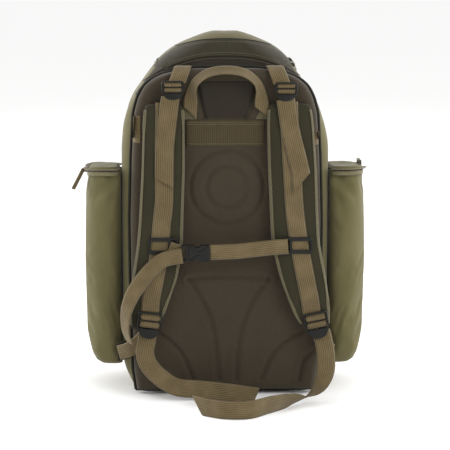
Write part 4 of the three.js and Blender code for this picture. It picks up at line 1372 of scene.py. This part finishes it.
# ---- other webbing --------------------------------------------------------------------------------
def build_buckle_ridges():
    """Two curved ribs on the female half's face, back to back between its corners."""
    low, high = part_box("chest_buckle_female")
    left, right, y = low.x + 2.5 * MM, high.x - 3 * MM, low.y - 0.2 * MM
    middle, z = (left + right) / 2, (low.z + high.z) / 2
    for name, sign in (("upper", 1), ("lower", -1)):
        route = [(x, y, z + sign * rise * MM) for x, rise in (
            (left, 11), ((left + middle) / 2, 6), (middle, 3.4), ((right + middle) / 2, 6), (right, 11))]
        tube(f"{name}_buckle_rib", "buckle_socket", curve_through(route, 30), 1.1 * MM, "plastic")


build_buckle_ridges()


def add_strap(name, node, body, route, width, steps=40, **shape):
    """A strap along a route given in millimetres."""
    centres, sides = curve_through(route[0], steps), curve_through(route[1], steps)
    return ribbon(name, body, centres, sides, width, replaces=node, **shape)


def box_middle(node):
    low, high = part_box(node)
    return (low + high) / 2 / MM


def lifter_route(name, sign):
    """From behind the panel's top edge, over it, down to the upper ladder-lock."""
    lock = box_middle(f"{name}_lifter_lock")
    lock_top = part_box(f"{name}_lifter_lock")[1].z / MM
    top = {"left": -68, "right": 78}[name]
    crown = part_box("back_panel_pad")[1].z / MM
    return millimetres(
        (top, -86, crown + 3, 1, 0, 0),
        (top + sign * 1.5, -103, crown + 2, 1, 0, 0),
        (top + sign * 6, -118, crown - 9, 1, 0, 0),
        (top + sign * 11, lock.y + 2, lock_top - 4, 1, 0, 0),
    )


def foot_route(name, sign):
    """From the lower ladder-lock round the panel's edge to the anchor wing."""
    lock = box_middle(f"{name}_lower_lock")
    near, far = lock.x + sign * 3, sign * 176
    return millimetres(
        (near, lock.y + 4, lock.z - 12, 1, 0, sign * 0.3),
        (near * 0.72 + far * 0.28, -114.5, 92, 1, 0, sign * 0.9),
        (near * 0.34 + far * 0.66, -105, 77, 0.6, 0, sign * 1.4),
        (far, -91, 69, 0.2, -0.1, sign * 1.6),
    )


# Half of the handle: x, y from the panel's face, z, and the width direction.
HANDLE_HALF = [
    (58, -3.8, 468, 1, 0, 0),
    (56.5, -6, 486, 0.97, -0.25, -0.1),
    (53, -10, 506, 0.6, -0.75, -0.35),
    (45, -15, 520, 0.35, -0.85, -0.45),
    (27, -19, 532, 0.15, -0.85, -0.55),
]


def handle_route():
    """The arch of the grab handle: sewn flat at both ends, turned on edge over its crown."""
    face = PANEL_FACE / MM
    left = [(-x, face + y, z, a, b, c) for x, y, z, a, b, c in HANDLE_HALF]
    right = [(x, face + y, z, -a, b, c) for x, y, z, a, b, c in reversed(HANDLE_HALF)]
    return millimetres(*left, (0, face - 20, 536, 0, -0.85, -0.55), *right)


for side, sign in SIDES.items():
    add_strap(f"{side}_lifter_strap", f"{side}_lifter_webbing", "bag", lifter_route(side, sign),
              STRAP - 2 * MM, 24, sheared=True)
    add_strap(f"{side}_foot_strap", f"{side}_lower_webbing", "bag", foot_route(side, sign),
              STRAP - 5 * MM, 30)
add_strap("handle_webbing", "grab_handle", "handle", handle_route(), 23 * MM, 90, thickness=2.4 * MM,
          cup=-1.2 * MM, slants=(-0.9, -0.9))


# ---- sternum strap --------------------------------------------------------------------------------
def build_sternum_strap():
    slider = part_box("left_chest_slider")
    front = slider[0].y / MM - 0.4 - 0.8
    male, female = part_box("chest_buckle_male"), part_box("chest_buckle_female")
    buckle_y = (female[0].y + female[1].y) / 2 / MM
    z = (female[0].z + female[1].z) / 2 / MM
    add_strap("left_chest_strap", "left_chest_webbing", "left_chest", millimetres(
        (-92, front - 0.2, 253, 0.2, 0, 1),
        (-84, front - 2.0, 250, 0.2, 0, 1),
        (male[0].x / MM + 4, front - 1.2, z + 2, 0.1, 0, 1),
    ), CHEST_STRAP - 4 * MM, 20)
    piece = add_strap("right_chest_strap", "right_chest_webbing", "right_chest", millimetres(
        (female[1].x / MM + 1.8, buckle_y, z + 1, 0, 0, 1),
        (20, front - 1.5, 247, 0, 0, 1),
        (70, front, 252, 0, 0, 1),
        (99, front, 254, 0, 0, 1),
    ), CHEST_STRAP, 60)
    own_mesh(piece)


build_sternum_strap()


# ---- pieces sewn to the panel ---------------------------------------------------------------------
def patch(name, node, corners, look, skin=None, depth=0.0, thickness=1.6 * MM, upright=False, dents=()):
    """Cloth or webbing sewn flat between four corners (x, z), on a surface or at a depth y.

    dents are (height, how deep) of creases across it.
    """
    a, b, c, d = (np.array(p, float) * MM for p in corners)
    wide, tall = np.linalg.norm(b - a), np.linalg.norm(d - a)
    t, s = np.meshgrid(np.linspace(0, 1, 26), np.linspace(0, 1, 40), indexing="ij")
    t, s = t[..., None], s[..., None]
    flat = (1 - t) * ((1 - s) * a + s * b) + t * ((1 - s) * d + s * c)
    x, z = flat[..., 0], flat[..., 1]
    edge = np.minimum(np.minimum(s, 1 - s) * wide, np.minimum(t, 1 - t) * tall)[..., 0]
    roll = np.sqrt(1 - (1 - np.clip(edge / (1.5 * MM), 0, 1)) ** 2)
    lift = thickness * (0.3 + 0.7 * roll) + 0.25 * MM * ruffle(np.stack([x, 0 * x, z], -1), 60, 4) * roll
    for height, deep in dents:
        lift -= deep * MM * np.exp(-(((z - height * MM) / (1.6 * MM)) ** 2))
    if skin is None:
        rest = np.full(x.shape, depth)
    else:
        rest = np.array([skin.from_front(px, pz)[0][1] for px, pz in flat.reshape(-1, 2)]).reshape(x.shape)
    front, back = np.stack([x, rest - lift, z], -1), np.stack([x, rest + 0.6 * MM, z], -1)
    uv = np.stack([z, x] if upright else [x, z], -1)
    return slab(name, node, front, back, uv, look)


def seam_row(skin, points, lift=0.3 * MM):
    """A run for stitches() along (x, z) points on a surface."""
    points = np.array(points, float) * MM
    steps = np.linspace(0, 1, 30)
    line = np.stack([np.interp(steps, np.linspace(0, 1, len(points)), points[:, k]) for k in range(2)], 1)
    return laid(skin, line, lift)


yoke = patch("yoke_webbing", "yoke_band", [(-65, 413), (62, 413), (63, 455), (-65, 455)], "webbing_dark",
             panel_skin, thickness=2.2 * MM, upright=True, dents=((449, 0.9), (440, 0.7), (418, 0.6)))
yoke_skin = Surface(yoke)
stitches("yoke_stitches", "bag", [seam_row(yoke_skin, [(-63, z), (61, z)]) for z in (451.5, 448, 416.5)],
         "thread", 3.4 * MM, 2.5 * MM)
# Painted shade: a darker cloth patch between the upper darts stands in for the shade in the hollow inside
# the handle's arch.
patch("panel_painted_shade_patch", None, [(-34, 458), (33, 458), (50, 517), (-47, 517)], "band", panel_skin,
      thickness=0.8 * MM)
for side, sign in SIDES.items():
    patch(f"{side}_yoke_corner", f"{side}_yoke_mesh",
          [(sign * 68, 456), (sign * 47, 456), (sign * 65, 487), (sign * 68, 487)], "mesh", panel_skin)
    patch(f"{side}_anchor_cloth", f"{side}_anchor_wing",
          [(sign * 157, 58), (sign * 178, 54), (sign * 179, 84), (sign * 157, 92)], "pad", depth=-87 * MM)
patch("left_edge_webbing", "left_edge_tab", [(-150, 418), (-137, 418), (-137, 462), (-149, 462)], "webbing",
      panel_skin)
patch("right_edge_webbing", "right_edge_tab", [(143, 414), (150, 414), (150, 436), (144, 436)], "webbing",
      panel_skin)


# ---- seams on the lid and bag -----------------------------------------------------------------------
def arched_seam(name, body, skin, arc, left, right, rows=(-4.2, 4.2)):
    """Binding sewn along an arched seam of the rear, with a row of stitches on each side of it."""
    x = np.arange(left, right, 2.0) * MM
    places, normals = laid(skin, np.column_stack([x, arc_height(arc, x)]), 0.35 * MM)
    across = np.cross(unit(np.gradient(places, axis=0)), normals)
    ribbon(f"{name}_binding", body, places, across, 3.0 * MM, "pad", 1.1 * MM, cells=4)
    runs = [laid(skin, np.column_stack([x, arc_height(arc, x) + row * MM]), 0.25 * MM) for row in rows]
    stitches(f"{name}_stitches", body, runs, pitch=3.4 * MM, length=2.5 * MM, radius=0.38 * MM)


arched_seam("crown_seam", "lid", lid_skin, LID_SEAM, -112, 112)
arched_seam("band_seam", "lid", lid_skin, BAND_SEAM, -92, 92)
arched_seam("left_band_seam", "bag", bag_skin, BAND_SEAM, -133, -98)
arched_seam("right_band_seam", "bag", bag_skin, BAND_SEAM, 98, 133)


def build_zip_pull(zip_name):
    """A pull of folded webbing that hangs from its slider."""
    node = f"{zip_name}_zip_pull"
    solid = Solid(node)
    middles = []
    for near in (solid.high[2], solid.low[2]):
        end = np.abs(solid.points[:, 2] - near) < 4 * MM
        middles.append(solid.points[end].mean(0))
    top, foot = middles
    side = (0.0, 1.0, 0.0) if zip_name in ("left_pocket", "right_pocket") else (1.0, 0.0, 0.0)
    if zip_name == "left_pocket":
        side = (0.75, 0.6, 0.25)
        foot = foot - np.array([13, 0, -4]) * MM
    centres = curve_through([top, top * 0.5 + foot * 0.5, foot], 16)
    sides = np.tile(side, (len(centres), 1))
    ribbon(f"{zip_name}_pull_webbing", f"{zip_name}_pull", centres, sides, 9 * MM,
           thickness=2.2 * MM, cells=6, replaces=node)


for zip_name in ZIPS:
    build_zip_pull(zip_name)


# ---- stage and light ------------------------------------------------------------------------------
def add_stage():
    """A pale floor wide enough to have no edge in view."""
    data = bpy.data.meshes.new("floor")
    reach = 60.0
    corners = [(-reach, -reach, 0), (reach, -reach, 0), (reach, reach, 0), (-reach, reach, 0)]
    data.from_pydata(corners, [], [(0, 1, 2, 3)])
    s = Shader("floor_paper", roughness=0.9, specular=0.1)
    grain = s.noise(40, 3)
    paper = s.mix(grain, srgb(246, 246, 245), srgb(250, 250, 250))
    data.materials.append(s.finish(paper, grain, 0.1 * MM, 0.1))
    floor = bpy.data.objects.new("floor", data)
    bpy.context.scene.collection.objects.link(floor)


def add_light(name, place, aim, size, power):
    data = bpy.data.lights.new(name, "AREA")
    data.shape, data.size, data.energy = "DISK", size, power
    lamp = bpy.data.objects.new(name, data)
    bpy.context.scene.collection.objects.link(lamp)
    lamp.location = place
    lamp.rotation_euler = (Vector(place) - Vector(aim)).to_track_quat("Z", "Y").to_euler()


def add_lights():
    world = bpy.data.worlds.new("studio")
    world.use_nodes = True
    world.node_tree.nodes["Background"].inputs["Color"].default_value = (1, 1, 1, 1)
    world.node_tree.nodes["Background"].inputs["Strength"].default_value = 1.0
    bpy.context.scene.world = world
    middle = (0, 0, 0.3)
    add_light("key", (1.7, -2.4, 2.0), middle, 1.5, 34)
    add_light("left_rim", (-2.3, 0.9, 1.0), middle, 1.4, 60)
    add_light("right_rim", (2.3, 0.9, 1.0), middle, 1.4, 50)
    add_light("top", (0, 0.6, 2.8), middle, 1.6, 4)
    bpy.context.scene.view_settings.view_transform = "Standard"


add_stage()
add_lights()
